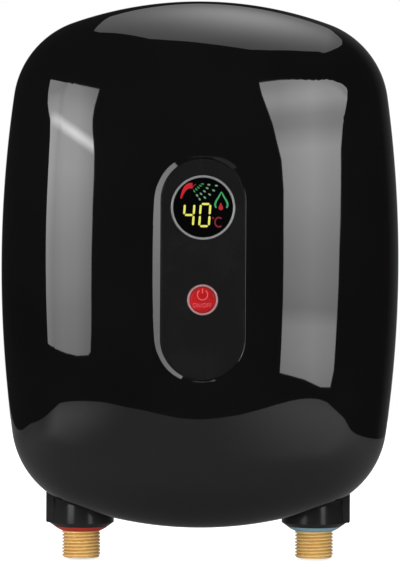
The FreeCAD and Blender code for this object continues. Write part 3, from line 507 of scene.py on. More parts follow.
topCentre = (0.0, form["height"] / 2 - form["topRadius"])
sideCentre = (form["width"] / 2 - form["sideRadius"], 0.0)
roundCentre = cornerCentre()
toTop = unit2(roundCentre[0] - topCentre[0], roundCentre[1] - topCentre[1])
toSide = unit2(roundCentre[0] - sideCentre[0], roundCentre[1] - sideCentre[1])


def rimGap(x, z, inset=0.0):
    # Distance in from the rim, and the nearest point of the rim
    x, z = abs(x), abs(z)
    vx, vz = x - roundCentre[0], z - roundCentre[1]
    choices = [(topCentre, form["topRadius"]), (sideCentre, form["sideRadius"])]
    if toTop[0] * vz - toTop[1] * vx <= 0 <= toSide[0] * vz - toSide[1] * vx:
        choices = [(roundCentre, form["cornerRadius"])]
    best = None
    for centre, radius in choices:
        away = math.hypot(x - centre[0], z - centre[1])
        gap = radius - inset - away
        if best is None or gap < best[0]:
            scale = (radius - inset) / max(away, 1e-6)
            best = (gap, centre[0] + (x - centre[0]) * scale, centre[1] + (z - centre[1]) * scale)
    return best


def sag(x, z):
    # As deep at the ends as an arc of crownZ, but flatter in the middle
    half = form["height"] / 2
    rise = half * half / (2 * form["crownZ"]) * abs(z / half) ** form["crownFlat"]
    return x * x / (2 * form["crownX"]) + rise


def crownHeight(x, z, inset=0.0):
    gap, rimX, rimZ = rimGap(x, z, inset)
    if gap < 0:
        return 0.0
    edge = form["coverDepth"] - inset - sag(rimX, rimZ)
    bite = max(edge - gap, 0.0)
    return form["coverDepth"] - inset - sag(x, z) - edge + math.sqrt(max(edge * edge - bite * bite, 0.0))


def coverDepthAt(x, z, inset=0.0):
    # The lip of the recess is dressed level at its highest place
    return min(form["rearDepth"] + crownHeight(x, z, inset), form["lipFront"])


def furthest(near, far, steps, inside):
    # The last place between near and far that is still inside
    for _ in range(steps):
        middle = (near + far) / 2
        if inside(middle):
            near = middle
        else:
            far = middle
    return near


def rimAlong(fromX, fromZ, inset=0.0):
    # Where a line from the slot's middle through a point meets the rim
    centreZ = slot["centreZ"]
    dz = fromZ - centreZ
    reach = furthest(1.0, 12.0, 48, lambda by: rimGap(fromX * by, centreZ + dz * by, inset)[0] > 0)
    return fromX * reach, centreZ + dz * reach


def slotPoints(grow, count):
    # Points round the slot and the directions out of it: up one side, round its bow, and the same again
    half, straight = slot["width"] / 2, slot["height"] - slot["width"]
    side = straight + math.pi * half
    points = []
    for k in range(count):
        again, s = divmod(2 * side * k / count, side)
        sign, turn = 1 - 2 * again, max(s - straight, 0.0) / half
        nx, nz = sign * math.cos(turn), sign * math.sin(turn)
        z = half * nz + sign * (min(s, straight) - straight / 2) + slot["centreZ"]
        points.append((half * nx + nx * grow, z + nz * grow, nx, nz))
    return points


coverLook = {
    "around": 480, "flatRows": 16, "edgeRows": 44, "edgeStart": 0.36, "innerRows": 8,
    "slopeRows": (0.0, 0.04, 0.25, 0.5, 0.75, 0.96, 1.0), "roundSteps": 4, "lead": 1.3,
    "lipMost": 0.3, "seatMost": 0.25,
    **inMm(lipRound=0.3, seatRound=0.3, skirtRound=0.2, bossRadius=5, bossHole=1.9, bossLow=43.8, bossHigh=70,
           bossSink=0.8, postX=21.9, postZ=33, postRadius=2.4, postHole=1.1, postLow=79.95, postSink=0.5),
}


def slopeToward(nx):
    # The wall of the recess is wide at the sides and steep at the top and bottom
    return slot["slope"] / max(abs(nx), slot["endShare"])


def mouthPoint(x, z, nx, nz):
    # How far out the slope up from the slot meets the crowned front
    def under(out):
        return slot["front"] + out * slopeToward(nx) < coverDepthAt(x + nx * out, z + nz * out)

    return furthest(0.0, 12 * mm, 40, under)


def coverColumn(x, z, nx, nz):
    # One closed section of the cover shell, from the slot out to the rim and back inside
    look, front, ledge = coverLook, slot["front"], slot["ledge"]
    reach, slope = mouthPoint(x, z, nx, nz), slopeToward(nx)
    mouthX, mouthZ = x + nx * reach, z + nz * reach
    rimX, rimZ = rimAlong(mouthX, mouthZ)
    outX, outZ = x + nx * ledge, z + nz * ledge
    inX, inZ = rimAlong(outX, outZ, form["wall"])
    soft = min(look["lipRound"], reach * look["lipMost"])
    small = min(look["seatRound"], reach * look["seatMost"])
    share = soft / math.hypot(rimX - mouthX, rimZ - mouthZ)
    start, flat, edge = look["edgeStart"], look["flatRows"], look["edgeRows"]
    steps, skirtLow = look["roundSteps"], form["rearDepth"] - form["skirt"]

    def onSlope(out):
        return Vector((x + nx * out, -(front + out * slope), z + nz * out))

    def onSkin(part):
        px, pz = mouthX + (rimX - mouthX) * part, mouthZ + (rimZ - mouthZ) * part
        return Vector((px, -coverDepthAt(px, pz), pz))

    def rounded(start, corner, end):
        return [bend(start, corner, end, k / steps) for k in range(1, steps)]

    wallTop = Vector((x, -(front - small), z))
    column = [(outX, -slotBack, outZ), (x - nx * ledge, -slotBack, z - nz * ledge),
              (x - nx * ledge, -slotSeat, z - nz * ledge), (x, -slotSeat, z),
              (x, -(front - look["lead"] * small), z), wallTop]
    column += rounded(wallTop, Vector((x, -front, z)), onSlope(small))
    column += [onSlope(small + (reach - soft - small) * row) for row in look["slopeRows"]]
    column += rounded(onSlope(reach - soft), onSlope(reach), onSkin(share))
    column += [onSkin(share), onSkin(look["lead"] * share)]
    column += [onSkin(start * i / flat) for i in range(1, flat)]
    column += [onSkin(start + (1 - start) * math.sin(math.pi / 2 * i / edge)) for i in range(edge)]
    tuck = 1 - look["skirtRound"] / math.hypot(rimX, rimZ)
    column += [(rimX, -form["rearDepth"], rimZ), (rimX, -(skirtLow + look["skirtRound"]), rimZ),
               (rimX * tuck, -skirtLow, rimZ * tuck), (inX, -skirtLow, inZ)]
    for i in range(look["innerRows"] + 1):
        row = math.cos(math.pi / 2 * i / look["innerRows"])
        px, pz = outX + (inX - outX) * row, outZ + (inZ - outZ) * row
        column.append((px, -coverDepthAt(px, pz, form["wall"]), pz))
    return column


def makeTube(name, x, z, low, high, steps):
    radius, hole = coverLook[name + "Radius"], coverLook[name + "Hole"]
    profile = [(hole, low), (radius, low), (radius, high), (hole, high)]
    return lathe(name, profile, x, z, finishes["gloss_black"], steps)


def makeCover():
    look = coverLook
    columns = [coverColumn(*p) for p in slotPoints(0.0, look["around"])]
    faces = [(a, d, c, b) for a, b, c, d in ringFaces(len(columns), len(columns[0]))]
    parts = [meshFrom("frontCover", sum(columns, []), faces, finishes["gloss_black"], 40.0)]
    for sx in (-1, 1):
        for sz in (-1, 1):
            boss = makeTube("boss", sx * form["screwX"], sz * form["screwZ"], look["bossLow"],
                            look["bossHigh"], 32)
            for v in boss.data.vertices:
                if -v.co.y > (look["bossLow"] + look["bossHigh"]) / 2:
                    v.co.y = -coverDepthAt(v.co.x, v.co.z, form["wall"]) - look["bossSink"]
            post = makeTube("post", sx * look["postX"], slot["centreZ"] + sz * look["postZ"], look["postLow"],
                            slotBack + look["postSink"], 24)
            parts += [boss, post]
    return joinPieces("frontCover", parts)


wallLook = {"side": -1, "lean": 0.2, "topEnd": (50.0, 62.0), "bottomEnd": (60.0, 74.0), "near": 0.02 * mm}


def steadyWall(mesh):
    # The polished slope on one side keeps its gloss round both ends: there its normals still face sideways
    look, slope = wallLook, slot["slope"]
    half, straight = slot["width"] / 2, (slot["height"] - slot["width"]) / 2
    normals = [corner.vector.copy() for corner in mesh.corner_normals]
    for loop in mesh.loops:
        x, y, z = mesh.vertices[loop.vertex_index].co
        rise = z - slot["centreZ"]
        beyond = math.copysign(max(abs(rise) - straight, 0.0), rise)
        away = math.hypot(x, beyond)
        out, nx, nz = away - half, x / away, beyond / away
        onSlope = abs(-y - slot["front"] - out * slopeToward(nx)) < look["near"] < out < half / 2
        if not onSlope or x * look["side"] <= 0:
            continue
        turn = math.degrees(math.atan2(abs(nz), abs(nx)))
        begins, ends = look["topEnd" if nz > 0 else "bottomEnd"]
        share = min(max((ends - turn) / (ends - begins), 0.0), 1.0)
        plain = Vector((-nx * slope, -1.0, -nz * slope))
        steady = Vector((-look["side"] * slope, -1.0, -nz * slope * look["lean"]))
        normals[loop.index] = plain.lerp(steady, share).normalized()
    mesh.normals_split_custom_set(normals)


cover = settle(makeCover(), body, "gloss_black", "front_cover")
steadyWall(cover.data)
print("cover:", len(cover.data.polygons), "faces")


# Control panel, display and button

panelLook = {**inMm(edge=0.35, displayZ=30, buttonZ=-18.5), "edgeSteps": 3, "around": 320}
trimLook = inMm(displayOuter=16.95, displayInner=15.75, displayRise=0.5, displayLip=1,
                buttonOuter=8.15, buttonInner=6.95, buttonRise=0.5, buttonLip=0,
                flange=1.3, flangeThick=0.8, round=0.4, clear=0.02)
lensLook = inMm(radius=15.7, front=91.05, back=89.65, edge=0.25, dome=0.12)


def makePanel():
    look = panelLook
    loops = [[point[:2] for point in slotPoints(-slot["fit"], look["around"])]]
    loops += [circle(0, look[part + "Z"], trimLook[part + "Outer"]) for part in ("display", "button")]
    return plate("controlPanel", loops, slot["front"], slot["panelThick"], finishes["smoked_panel"],
                 look["edge"], look["edgeSteps"])


def makeTrim(name, part, finish):
    outer, inner, rise, lip = [trimLook[part + key] for key in ("Outer", "Inner", "Rise", "Lip")]
    front, low, soft = slot["front"] + rise, slotSeat - trimLook["flangeThick"], trimLook["round"]
    skin, flange = outer - trimLook["clear"], outer + trimLook["flange"]
    profile = [(inner, low), (flange, low), (flange, slotSeat), (skin, slotSeat), (skin, front, soft),
               (inner, front, soft)]
    if lip:
        profile += [(inner, lensLook["back"]), (inner - lip, lensLook["back"]), (inner - lip, low)]
    return lathe(name, softened(profile), 0, panelLook[part + "Z"], finishes[finish], 128, 50.0)


def lensFrontAt(x, z):
    away = math.hypot(x, z - panelLook["displayZ"])
    return lensLook["front"] - lensLook["dome"] * (away / (lensLook["radius"] - lensLook["edge"])) ** 2


def domed(frontAt, radius, z, rows=8):
    # The front of a turned piece, from a radius in to its middle
    return [(r, frontAt(r, z)) for r in [radius * (1 - i / rows) for i in range(rows + 1)]]


def makeLens():
    radius, front, back, edge = [lensLook[key] for key in ("radius", "front", "back", "edge")]
    profile = [(0, back), (radius, back), (radius, front - edge)]
    profile += domed(lensFrontAt, radius - edge, panelLook["displayZ"])
    return lathe("displayLens", profile, 0, panelLook["displayZ"], finishes["smoked_lens"])


settle(makePanel(), body, "smoked_panel", "control_panel")
settle(makeTrim("displayRing", "display", "bright_trim"), body, "bright_trim", "display_bezel")
settle(makeTrim("buttonRing", "button", "rose_trim"), body, "bright_trim", "button_ring")
settle(makeLens(), body, "smoked_lens", "display_lens")

markLook = {**inMm(thick=0.12, proud=0.03, digitWidth=6.15, digitHeight=12.75, bar=1.12, gap=0.36,
                   firstX=-7.45, secondX=0.92, digitZ=26.05), "slant": 0.07, "tip": 0.42}


def laidOn(mark, frontAt, look):
    # Flat print, made to follow the surface that it is on
    ys = [v.co.y for v in mark.data.vertices]
    middle = (min(ys) + max(ys)) / 2
    for v in mark.data.vertices:
        back = look["thick"] if v.co.y > middle else 0.0
        v.co.y = -(frontAt(v.co.x, v.co.z) + look["proud"] - back)
    return mark


def drawn(name, glow, *loops):
    return plate(name, loops, 0.0, markLook["thick"], glow)


def barLoop(ax, az, bx, bz, width):
    # A seven-segment bar with pointed ends
    a, b = Vector((ax, az)), Vector((bx, bz))
    along = (b - a).normalized()
    side = Vector((-along.y, along.x)) * width / 2
    tip = along * width * markLook["tip"]
    return [tuple(p) for p in (a, a + tip + side, b - tip + side, b, b - tip - side, a + tip - side)]


def digitLoops(centreX, lit):
    bar, gap, slant = markLook["bar"], markLook["gap"], markLook["slant"]
    w, h = markLook["digitWidth"] / 2 - bar / 2, markLook["digitHeight"] / 2 - bar / 2
    ends = {
        "a": (-w + gap, h, w - gap, h), "g": (-w + gap, 0, w - gap, 0), "d": (-w + gap, -h, w - gap, -h),
        "f": (-w, gap, -w, h - gap), "b": (w, gap, w, h - gap),
        "e": (-w, -h + gap, -w, -gap), "c": (w, -h + gap, w, -gap),
    }
    return [[(centreX + x + z * slant, markLook["digitZ"] + z) for x, z in barLoop(*ends[key], bar)]
            for key in lit]


def strokeLoop(path, width):
    # Outline of a stroke along a path: one width, or a width at each point
    left, right = [], []
    count = len(path)
    for i, (x, z) in enumerate(path):
        ahead, behind = path[min(i + 1, count - 1)], path[max(i - 1, 0)]
        along = Vector((ahead[0] - behind[0], ahead[1] - behind[1])).normalized()
        half = (width[i] if isinstance(width, list) else width) / 2
        left.append((x - along.y * half, z + along.x * half))
        right.append((x + along.y * half, z - along.x * half))
    return left + right[::-1]


def curvePath(points, steps=8):
    # A smooth path through points
    made = []
    count = len(points)
    for i in range(count - 1):
        p0, p1 = Vector(points[max(i - 1, 0)]), Vector(points[i])
        p2, p3 = Vector(points[i + 1]), Vector(points[min(i + 2, count - 1)])
        for t in [k / steps for k in range(steps)]:
            made.append(tuple(0.5 * (2 * p1 + (p2 - p0) * t + (2 * p0 - 5 * p1 + 4 * p2 - p3) * t * t
                                     + (3 * p1 - p0 - 3 * p2 + p3) * t ** 3)))
    made.append(tuple(points[-1]))
    return made


def tapered(points, widths, x=0.0, mirror=1):
    # A stroke whose width changes along it. Points and widths are in mm
    path = curvePath([(x + mirror * px * mm, pz * mm) for px, pz in points])
    return strokeLoop(path, [width * mm for i, width in curvePath(list(enumerate(widths)))])


def makeDigits():
    loops = digitLoops(markLook["firstX"], "fgbc") + digitLoops(markLook["secondX"], "abcdef")
    return joinPieces("displayDigits", [drawn("bar", glows["yellow"], loop) for loop in loops])


degreeLook = {**inMm(ringX=5.25, ringZ=24.5, ringOuter=0.55, ringInner=0.26, x=8.3, z=22.35, wide=2,
                     high=2.45, stroke=0.75), "opening": (48, 312)}


def makeDegree():
    look = degreeLook
    rings = [circle(look["ringX"], look["ringZ"], look[key], 24) for key in ("ringOuter", "ringInner")]
    bow = [(look["x"] + x * look["wide"], look["z"] + z * look["high"])
           for x, z in arcPath(0, 0, 1, *look["opening"])]
    return joinPieces("displayDegree", [drawn("degreeRing", glows["dull"], *rings), drawn(
        "degreeLetter", glows["dull"], strokeLoop(bow, look["stroke"]))])


flameLook = {
    "side": [(0.0, 38.3), (-1.45, 35.6), (-2.75, 33.4), (-3.3, 31.5), (-2.75, 29.85)],
    "stroke": [0.5, 0.85, 0.95, 0.95, 0.7], "dropArc": (152, 388),
    **inMm(x=9.6, dropX=9.3, dropZ=29.85, dropRadius=1.2, dropTip=2.9),
}


def makeFlame():
    look = flameLook
    return joinPieces("displayFlame", [
        drawn("flameSide", glows["green"], tapered(look["side"], look["stroke"], look["x"], mirror))
        for mirror in (1, -1)])


def makeDrop():
    look = flameLook
    loop = arcPath(look["dropX"], look["dropZ"], look["dropRadius"], *look["dropArc"])
    return drawn("displayDrop", glows["dim"], loop + [(look["dropX"], look["dropZ"] + look["dropTip"])])


handsetLook = {
    "path": [(-11.66, 34.7), (-10.75, 37.5), (-9.45, 39.9), (-7.7, 41.3), (-5.6, 41.45)],
    "stroke": [0.8, 1.35, 2.1, 2.7, 3.0],
    "edge": [(-6.3, 40.0), (-3.9, 42.3)], "edgeStroke": 0.5 * mm,
}


def makeHandset():
    look = handsetLook
    grip = drawn("handsetGrip", glows["red"], tapered(look["path"], look["stroke"]))
    edge = [(x * mm, z * mm) for x, z in look["edge"]]
    return grip, drawn("handsetEdge", glows["dull"], strokeLoop(edge, look["edgeStroke"]))


def newTree(name, **inputs):
    # A node tree with named inputs: a list of names for each kind of socket
    tree = bpy.data.node_groups.new(name, "GeometryNodeTree")
    sockets = [("Geometry", "Geometry")] + [(key, kind) for kind, keys in inputs.items() for key in keys]
    for key, kind in sockets + [("Material", "Material")]:
        tree.interface.new_socket(key, in_out="INPUT", socket_type="NodeSocket" + kind)
    tree.interface.new_socket("Geometry", in_out="OUTPUT", socket_type="NodeSocketGeometry")
    return tree, addNode(tree, "NodeGroupInput").outputs


def endTree(tree, geometry, material):
    real = wire(tree, "GeometryNodeRealizeInstances", {"Geometry": geometry})
    painted = wire(tree, "GeometryNodeSetMaterial", {"Geometry": real, "Material": material})
    addNode(tree, "NodeGroupOutput", {"Geometry": painted})
    return tree


def applied(piece, tree, values):
    modifier = piece.modifiers.new(tree.name, "NODES")
    modifier.node_group = tree
    for item in tree.interface.items_tree:
        if item.item_type == "SOCKET" and item.in_out == "INPUT" and item.name in values:
            modifier[item.identifier] = values[item.name]
    return bake(piece)


def repeated(name, tree, values, material):
    # A new piece made by a node tree alone
    holder = newObject(name, bpy.data.meshes.new(name), material)
    return applied(holder, tree, {**values, "Material": material})


def instances(tree, points, item, turn):
    shape = wire(tree, "GeometryNodeObjectInfo", {"Object": item}, "Geometry")
    return wire(tree, "GeometryNodeInstanceOnPoints", {"Points": points, "Instance": shape, "Rotation": turn})


# The spray plate is a line of dashes, and the drops fan out from it in two rows
sprayLook = {
    "ends": {"Start": (-4.8 * mm, 0.0, 38.75 * mm), "End": (-0.6 * mm, 0.0, 42.45 * mm)},
    "fan": {"Count": 5, "From Angle": -56.0, "To Angle": -7.0},
    "drops": {"Rows": 2, "Near": 2.9 * mm, "Near Growth": 0.7 * mm, "Bulge": 0.7 * mm,
              "Step": 2.35 * mm, "Step Growth": 1.65 * mm},
    "teeth": {"Rows": 1, "Near": 0.2 * mm, "Near Growth": 0.0, "Bulge": 0.0, "Step": 0.0, "Step Growth": 0.0},
    **inMm(dropLong=1.65, dropWide=0.95, toothLong=1.7, toothWide=0.7),
}


def makeSprayTree():
    # Copies of a drop, carried out from a line at angles and distances that grow along it
    tree, known = newTree("sprayFan", Object=["Drop"], Int=["Rows", "Count"], Vector=["Start", "End"], Float=[
        "From Angle", "To Angle", "Near", "Near Growth", "Bulge", "Step", "Step Growth"])
    line = wire(tree, "GeometryNodeMeshLine", {"Count": times(known["Rows"], known["Count"])})
    number = wire(tree, "GeometryNodeInputIndex")
    row = calc("FLOOR", over(number, known["Count"]))
    share = over(calc("MODULO", number, known["Count"]), minus(known["Count"], 1.0))
    fan = minus(known["To Angle"], known["From Angle"])
    angle = calc("RADIANS", calc("MULTIPLY_ADD", share, fan, known["From Angle"]))
    away = calc("MULTIPLY_ADD", share, known["Near Growth"], known["Near"])
    swell = times(minus(share, times(share, share)), 4.0)
    away = calc("MULTIPLY_ADD", swell, known["Bulge"], away)
    step = calc("MULTIPLY_ADD", share, known["Step Growth"], known["Step"])
    away = calc("MULTIPLY_ADD", row, step, away)
    out = wire(tree, "ShaderNodeCombineXYZ", {
        "X": times(away, calc("COSINE", angle)), "Z": times(away, calc("SINE", angle))})
    spot = vectorMath("ADD", blend(share, known["Start"], known["End"]), out)
    moved = wire(tree, "GeometryNodeSetPosition", {"Geometry": line, "Position": spot})
    turn = wire(tree, "ShaderNodeCombineXYZ", {"Y": times(angle, -1.0)})
    return endTree(tree, instances(tree, moved, known["Drop"], turn), known["Material"])


sprayTree = makeSprayTree()


def makeSpray(name, shape, glow, values):
    long, wide = sprayLook[shape + "Long"], sprayLook[shape + "Wide"]
    loop = [(long / 2 * x, wide / 2 * z) for x, z in circle(0, 0, 1, 16)]
    drop = drawn("dropShape", glow, loop)
    fan = repeated(name, sprayTree, {"Drop": drop, **sprayLook["fan"], **sprayLook["ends"], **values}, glow)
    bpy.data.objects.remove(drop)
    return fan


drops = makeSpray("displayDrops", "drop", glows["pale"], sprayLook["drops"])
teeth = makeSpray("displaySprayPlate", "tooth", glows["leaf"], sprayLook["teeth"])

for mark in (makeDigits(), makeDegree(), makeFlame(), makeDrop(), *makeHandset(), drops, teeth):
    settle(laidOn(mark, lensFrontAt, markLook), body, "smoked_lens")
print("display drawn")

buttonLook = inMm(radius=6.85, front=92.45, edge=1.2, dish=0.25, dishRadius=3.85, flangeRadius=8.2,
                  flangeFront=88.45, flangeThick=1, stemRadius=2, stemBack=84.95)


def buttonFrontAt(x, z):
    share = min(math.hypot(x, z - panelLook["buttonZ"]) / buttonLook["dishRadius"], 1.0)
    return buttonLook["front"] - buttonLook["dish"] * (1 - share * share)


def makeButton():
    look, z = buttonLook, panelLook["buttonZ"]
    back, stem, flange = look["stemBack"], look["stemRadius"], look["flangeRadius"]
    high, radius = look["flangeFront"], look["radius"]
    low = high - look["flangeThick"]
    profile = softened([(0, back), (stem, back), (stem, low), (flange, low), (flange, high), (radius, high),
                        (radius, look["front"], look["edge"]), (look["dishRadius"], look["front"])], 6)
    profile += domed(buttonFrontAt, look["dishRadius"], z)[1:]
    return lathe("powerButton", profile, 0, z, finishes["button_red"])


settle(makeButton(), buttonBody, "button_red", "power_button")

symbolLook = {**inMm(x=-0.1, z=2.7, radius=2.7, width=0.62, barLow=0.75, barHigh=3.4, wordX=-0.3,
                     wordZ=-2.85, wordWide=9.8, wordHigh=2.4, proud=0.04, thick=0.12),
              "opening": (126, 414), "word": "ON/OFF", "wordGap": 1.1}


def makeSymbol():
    look = symbolLook
    x, z, width = look["x"], panelLook["buttonZ"] + look["z"], look["width"]
    low, high = z + look["barLow"], z + look["barHigh"]
    ring = arcPath(x, z, look["radius"], *look["opening"], 48)
    bar = [(x, low + (high - low) * k / 6) for k in range(7)]
    strokes = [drawn("stroke", markInk, strokeLoop(path, width)) for path in (ring, bar)]
    return joinPieces("powerSymbol", strokes)


def makeWord():
    look = symbolLook
    curve = bpy.data.curves.new("switchWord", "FONT")
    curve.body = look["word"]
    curve.size = 1.0
    curve.extrude = 0.05
    curve.space_character = look["wordGap"]
    curve.resolution_u = 6
    mesh = curveMesh("switchWord", curve)
    xs, ys = [v.co.x for v in mesh.vertices], [v.co.y for v in mesh.vertices]
    wide, high = max(xs) - min(xs), max(ys) - min(ys)
    for v in mesh.vertices:
        x, z = (v.co.x - min(xs)) / wide - 0.5, (v.co.y - min(ys)) / high - 0.5
        v.co = (look["wordX"] + x * look["wordWide"], -v.co.z,
                panelLook["buttonZ"] + look["wordZ"] + z * look["wordHigh"])
    return remade("switchWord", mesh, markInk)


for mark in (makeSymbol(), makeWord()):
    settle(laidOn(mark, buttonFrontAt, symbolLook), buttonBody, "button_red")
print("button made")


# Pipe connections

collarLook = {**inMm(radius=18, top=-122, shoulder=-142, mouth=-144.1, mouthRadius=15.1, mouthRound=0.4,
                     neck=16.9, flareHigh=-130.5, inner=14.8, tail=10.4, seat=-139.7, round=0.4,
                     keyInner=15, keyReach=19.2, keyWidth=17.6, keyLow=-141.6, keyRound=0.8),
              "flareRows": 12, "flareLinear": 0.45}


def makeCollar(name, x):
    look = collarLook
    side, top, linear = math.copysign(1, x), look["top"], look["flareLinear"]
    flare, rise = [], look["flareHigh"] - look["shoulder"]
    for share in [i / look["flareRows"] for i in range(1, look["flareRows"] + 1)]:
        drop = (look["radius"] - look["neck"]) * (linear * share + (1 - linear) * share * share)
        flare.append((look["radius"] - drop, look["shoulder"] + rise * share))
    profile = softened([
        (look["tail"], look["mouth"]), (look["mouthRadius"], look["mouth"], look["mouthRound"]),
        (look["radius"], look["shoulder"], look["round"]), *flare, (look["neck"], top), (look["inner"], top),
        (look["inner"], look["seat"]), (look["tail"], look["seat"])])
    ring = lathe("collarRing", profile, x, -pipeDepth, finishes["collar_black"], 128, 35.0, True)
    inner, reach, low = look["keyInner"], look["keyReach"], look["keyLow"]
    shape = bmesh.new()
    addBox(shape, (reach - inner, look["keyWidth"], top - low),
           (x + side * (inner + reach) / 2, -pipeDepth, (top + low) / 2))
    outer = [e for e in shape.edges if all(abs(v.co.x - x - side * reach) < 1e-6 for v in e.verts)]
    bmesh.ops.bevel(shape, geom=outer, offset=look["keyRound"], segments=3, affect="EDGES", profile=0.5)
    mesh = finishedMesh("collarKey", shape)
    shaded(mesh, 25.0)
    return joinPieces(name, [ring, newObject("collarKey", mesh, finishes["collar_black"])])


ringLook = inMm(tail=10.4, top=-144.1, topRadius=15.1, topRound=0.1, waist=-145.3, waistRadius=13.5,
                waistRound=0.4, bottom=-146.6, bottomRadius=11, bottomRound=0.2)


def makeColourRing(name, x, finish):
    look = ringLook
    skin = [(look[key + "Radius"], look[key], look[key + "Round"]) for key in ("top", "waist", "bottom")]
    profile = softened([(look["tail"], look["top"]), *skin, (look["tail"], look["bottom"])])
    return lathe(name, profile, x, -pipeDepth, finish, 128, 35.0, True)


fittingLook = {**inMm(bore=7, boreChamfer=0.5, major=10.4775, bottom=-161.4, threadTop=-146.6, tail=10.3,
                      flangeLow=-139.7, flangeHigh=-137.2, flange=14.7, top=-114, pitch=1.814, depth=1.1,
                      chamfer=0.9, lead=0.2, runout=0.9, clear=0.02),
               "crest": 0.22, "root": 0.95, "rows": 170, "around": 128}


def makeThreadTree():
    # Cuts a helical groove into the skin of a turned bar, fading out at both ends
    tree, known = newTree("pipeThread", Float=[
        "Axis X", "Axis Y", "Radius", "Pitch", "Depth", "Bottom", "Top", "Runout", "Crest", "Root"])
    x, y, z = axes(wire(tree, "GeometryNodeInputPosition"))
    dx, dy = minus(x, known["Axis X"]), minus(y, known["Axis Y"])
    turn = over(calc("ARCTAN2", dy, dx), 2 * math.pi)
    low, high = minus(z, known["Bottom"]), minus(known["Top"], z)
    phase = calc("FRACT", minus(plus(over(low, known["Pitch"]), 20.0), turn))  # 20 keeps it above nought
    groove = calc("PINGPONG", times(phase, 2.0), 1.0)
    groove = eased(groove, 0.0, 1.0, known["Crest"], known["Root"])
    fade = calc("MINIMUM", over(low, known["Runout"]), over(high, known["Runout"]))
    fade = wire(tree, "ShaderNodeClamp", {"Value": fade})
    away = farFrom(dx, dy)
    onSkin = calc("GREATER_THAN", away, minus(known["Radius"], known["Depth"]))
    cut = times(groove, fade, known["Depth"], onSkin)
    scaleBy = over(times(cut, -1.0), away)
    shift = wire(tree, "ShaderNodeCombineXYZ", {"X": times(dx, scaleBy), "Y": times(dy, scaleBy)})
    moved = wire(tree, "GeometryNodeSetPosition", {"Geometry": known["Geometry"], "Offset": shift})
    return endTree(tree, moved, known["Material"])


threadTree = makeThreadTree()


def makeFitting(name, x):
    look = fittingLook
    low, high, major, bore = look["bottom"], look["threadTop"], look["major"], look["bore"]
    start = major - look["chamfer"]
    profile = [(bore, low + look["boreChamfer"]), (bore + look["boreChamfer"], low), (start, low)]
    for z in [low + (high - low) * i / look["rows"] for i in range(look["rows"] + 1)]:
        profile.append((min(major, start + (z - low) + look["clear"]), z))
    tail, flange, top = look["tail"], look["flange"], look["top"]
    profile += [(tail, high), (tail, look["flangeLow"]), (flange, look["flangeLow"]),
                (flange, look["flangeHigh"]), (tail, look["flangeHigh"]), (tail, top), (bore, top)]
    piece = lathe(name, profile, x, -pipeDepth, finishes["brass"], look["around"], 50.0, True)
    return applied(piece, threadTree, {
        "Axis X": x, "Axis Y": -pipeDepth, "Radius": major, "Pitch": look["pitch"], "Depth": look["depth"],
        "Bottom": low + look["lead"], "Top": high, "Runout": look["runout"], "Crest": look["crest"],
        "Root": look["root"], "Material": finishes["brass"]})


for side, ringFinish in (("hot", "hot_red"), ("cold", "cold_blue")):
    x = brassX[side]
    settle(makeCollar(side + "Collar", x), body, "gloss_black", side + "_collar")
    settle(makeColourRing(side + "Ring", x, finishes[ringFinish]), body, ringFinish, side + "_ring")
    settle(makeFitting(side + "Fitting", x), body, "brass", side + "_fitting").visible_glossy = False
print("connections made")


# Screws in the back, one turned head repeated on four points

screwLook = {**inMm(head=4, headHigh=2.6, headRound=0.5, rim=0.9, crownRound=0.8, sink=1, shank=1.9,
                    length=56.8, crossLong=4.6, crossWide=0.95, crossDeep=1.5),
             "crown": 0.55, "crossTaper": 0.45, "lean": 0.4}


def makeScrew():
    look = screwLook
    back, head, shank = look["sink"], look["head"], look["shank"]
    profile = softened([(0, back), (head * look["crown"], back, look["crownRound"]),
                        (head, back + look["rim"], look["headRound"]), (head, back + look["headHigh"]),
                        (shank, back + look["headHigh"]), (shank, look["length"]), (0, look["length"])])
    screw = lathe("screwShape", profile, 0, 0, finishes["steel"], 48)
    cutter = bmesh.new()
    for long, wide in ((look["crossLong"], look["crossWide"]), (look["crossWide"], look["crossLong"])):
        for v in addBox(cutter, (long, 2 * look["crossDeep"], wide), (0, -back, 0)):
            if v.co.y < -back:
                v.co.x *= look["crossTaper"]
                v.co.z *= look["crossTaper"]
    tool = newObject("crossCutter", finishedMesh("crossCutter", cutter), finishes["steel"])
    cut = screw.modifiers.new("cross", "BOOLEAN")
    cut.object = tool
    cut.solver = "EXACT"
    cut.use_self = True
    bake(screw)
    bpy.data.objects.remove(tool)
    return screw


def makeScrewTree():
    tree, known = newTree("screwSet", Object=["Screw"], Float=["Spread X", "Spread Z", "Lean"])
    grid = wire(tree, "GeometryNodeMeshGrid", {
        "Size X": known["Spread X"], "Size Y": known["Spread Z"], "Vertices X": 2, "Vertices Y": 2})
    x, y, z = axes(wire(tree, "GeometryNodeInputPosition"))
    upright = wire(tree, "ShaderNodeCombineXYZ", {"X": x, "Z": y})
    moved = wire(tree, "GeometryNodeSetPosition", {"Geometry": grid, "Position": upright})
    lean = times(wire(tree, "GeometryNodeInputIndex"), known["Lean"])
    turn = wire(tree, "ShaderNodeCombineXYZ", {"Y": lean})
    return endTree(tree, instances(tree, moved, known["Screw"], turn), known["Material"])


def makeScrews():
    screw = makeScrew()
    screws = repeated("coverScrews", makeScrewTree(), {
        "Screw": screw, "Spread X": 2 * form["screwX"], "Spread Z": 2 * form["screwZ"],
        "Lean": screwLook["lean"]}, finishes["steel"])
    bpy.data.objects.remove(screw)
    return screws


settle(makeScrews(), body, "steel", "cover_screws")
print("screws made")

# The solids that stay get the finish of their slot
slotOf = {part["node"]: part["material_slot"] for part in frame["record"]["subparts"]}
for node, solid in frame["nodes"].items():
    solid.data.materials.clear()
    solid.data.materials.append(finishes[slotOf[node]])
print("solids finished")


# Studio: a pale table, soft light panels, and a pale background

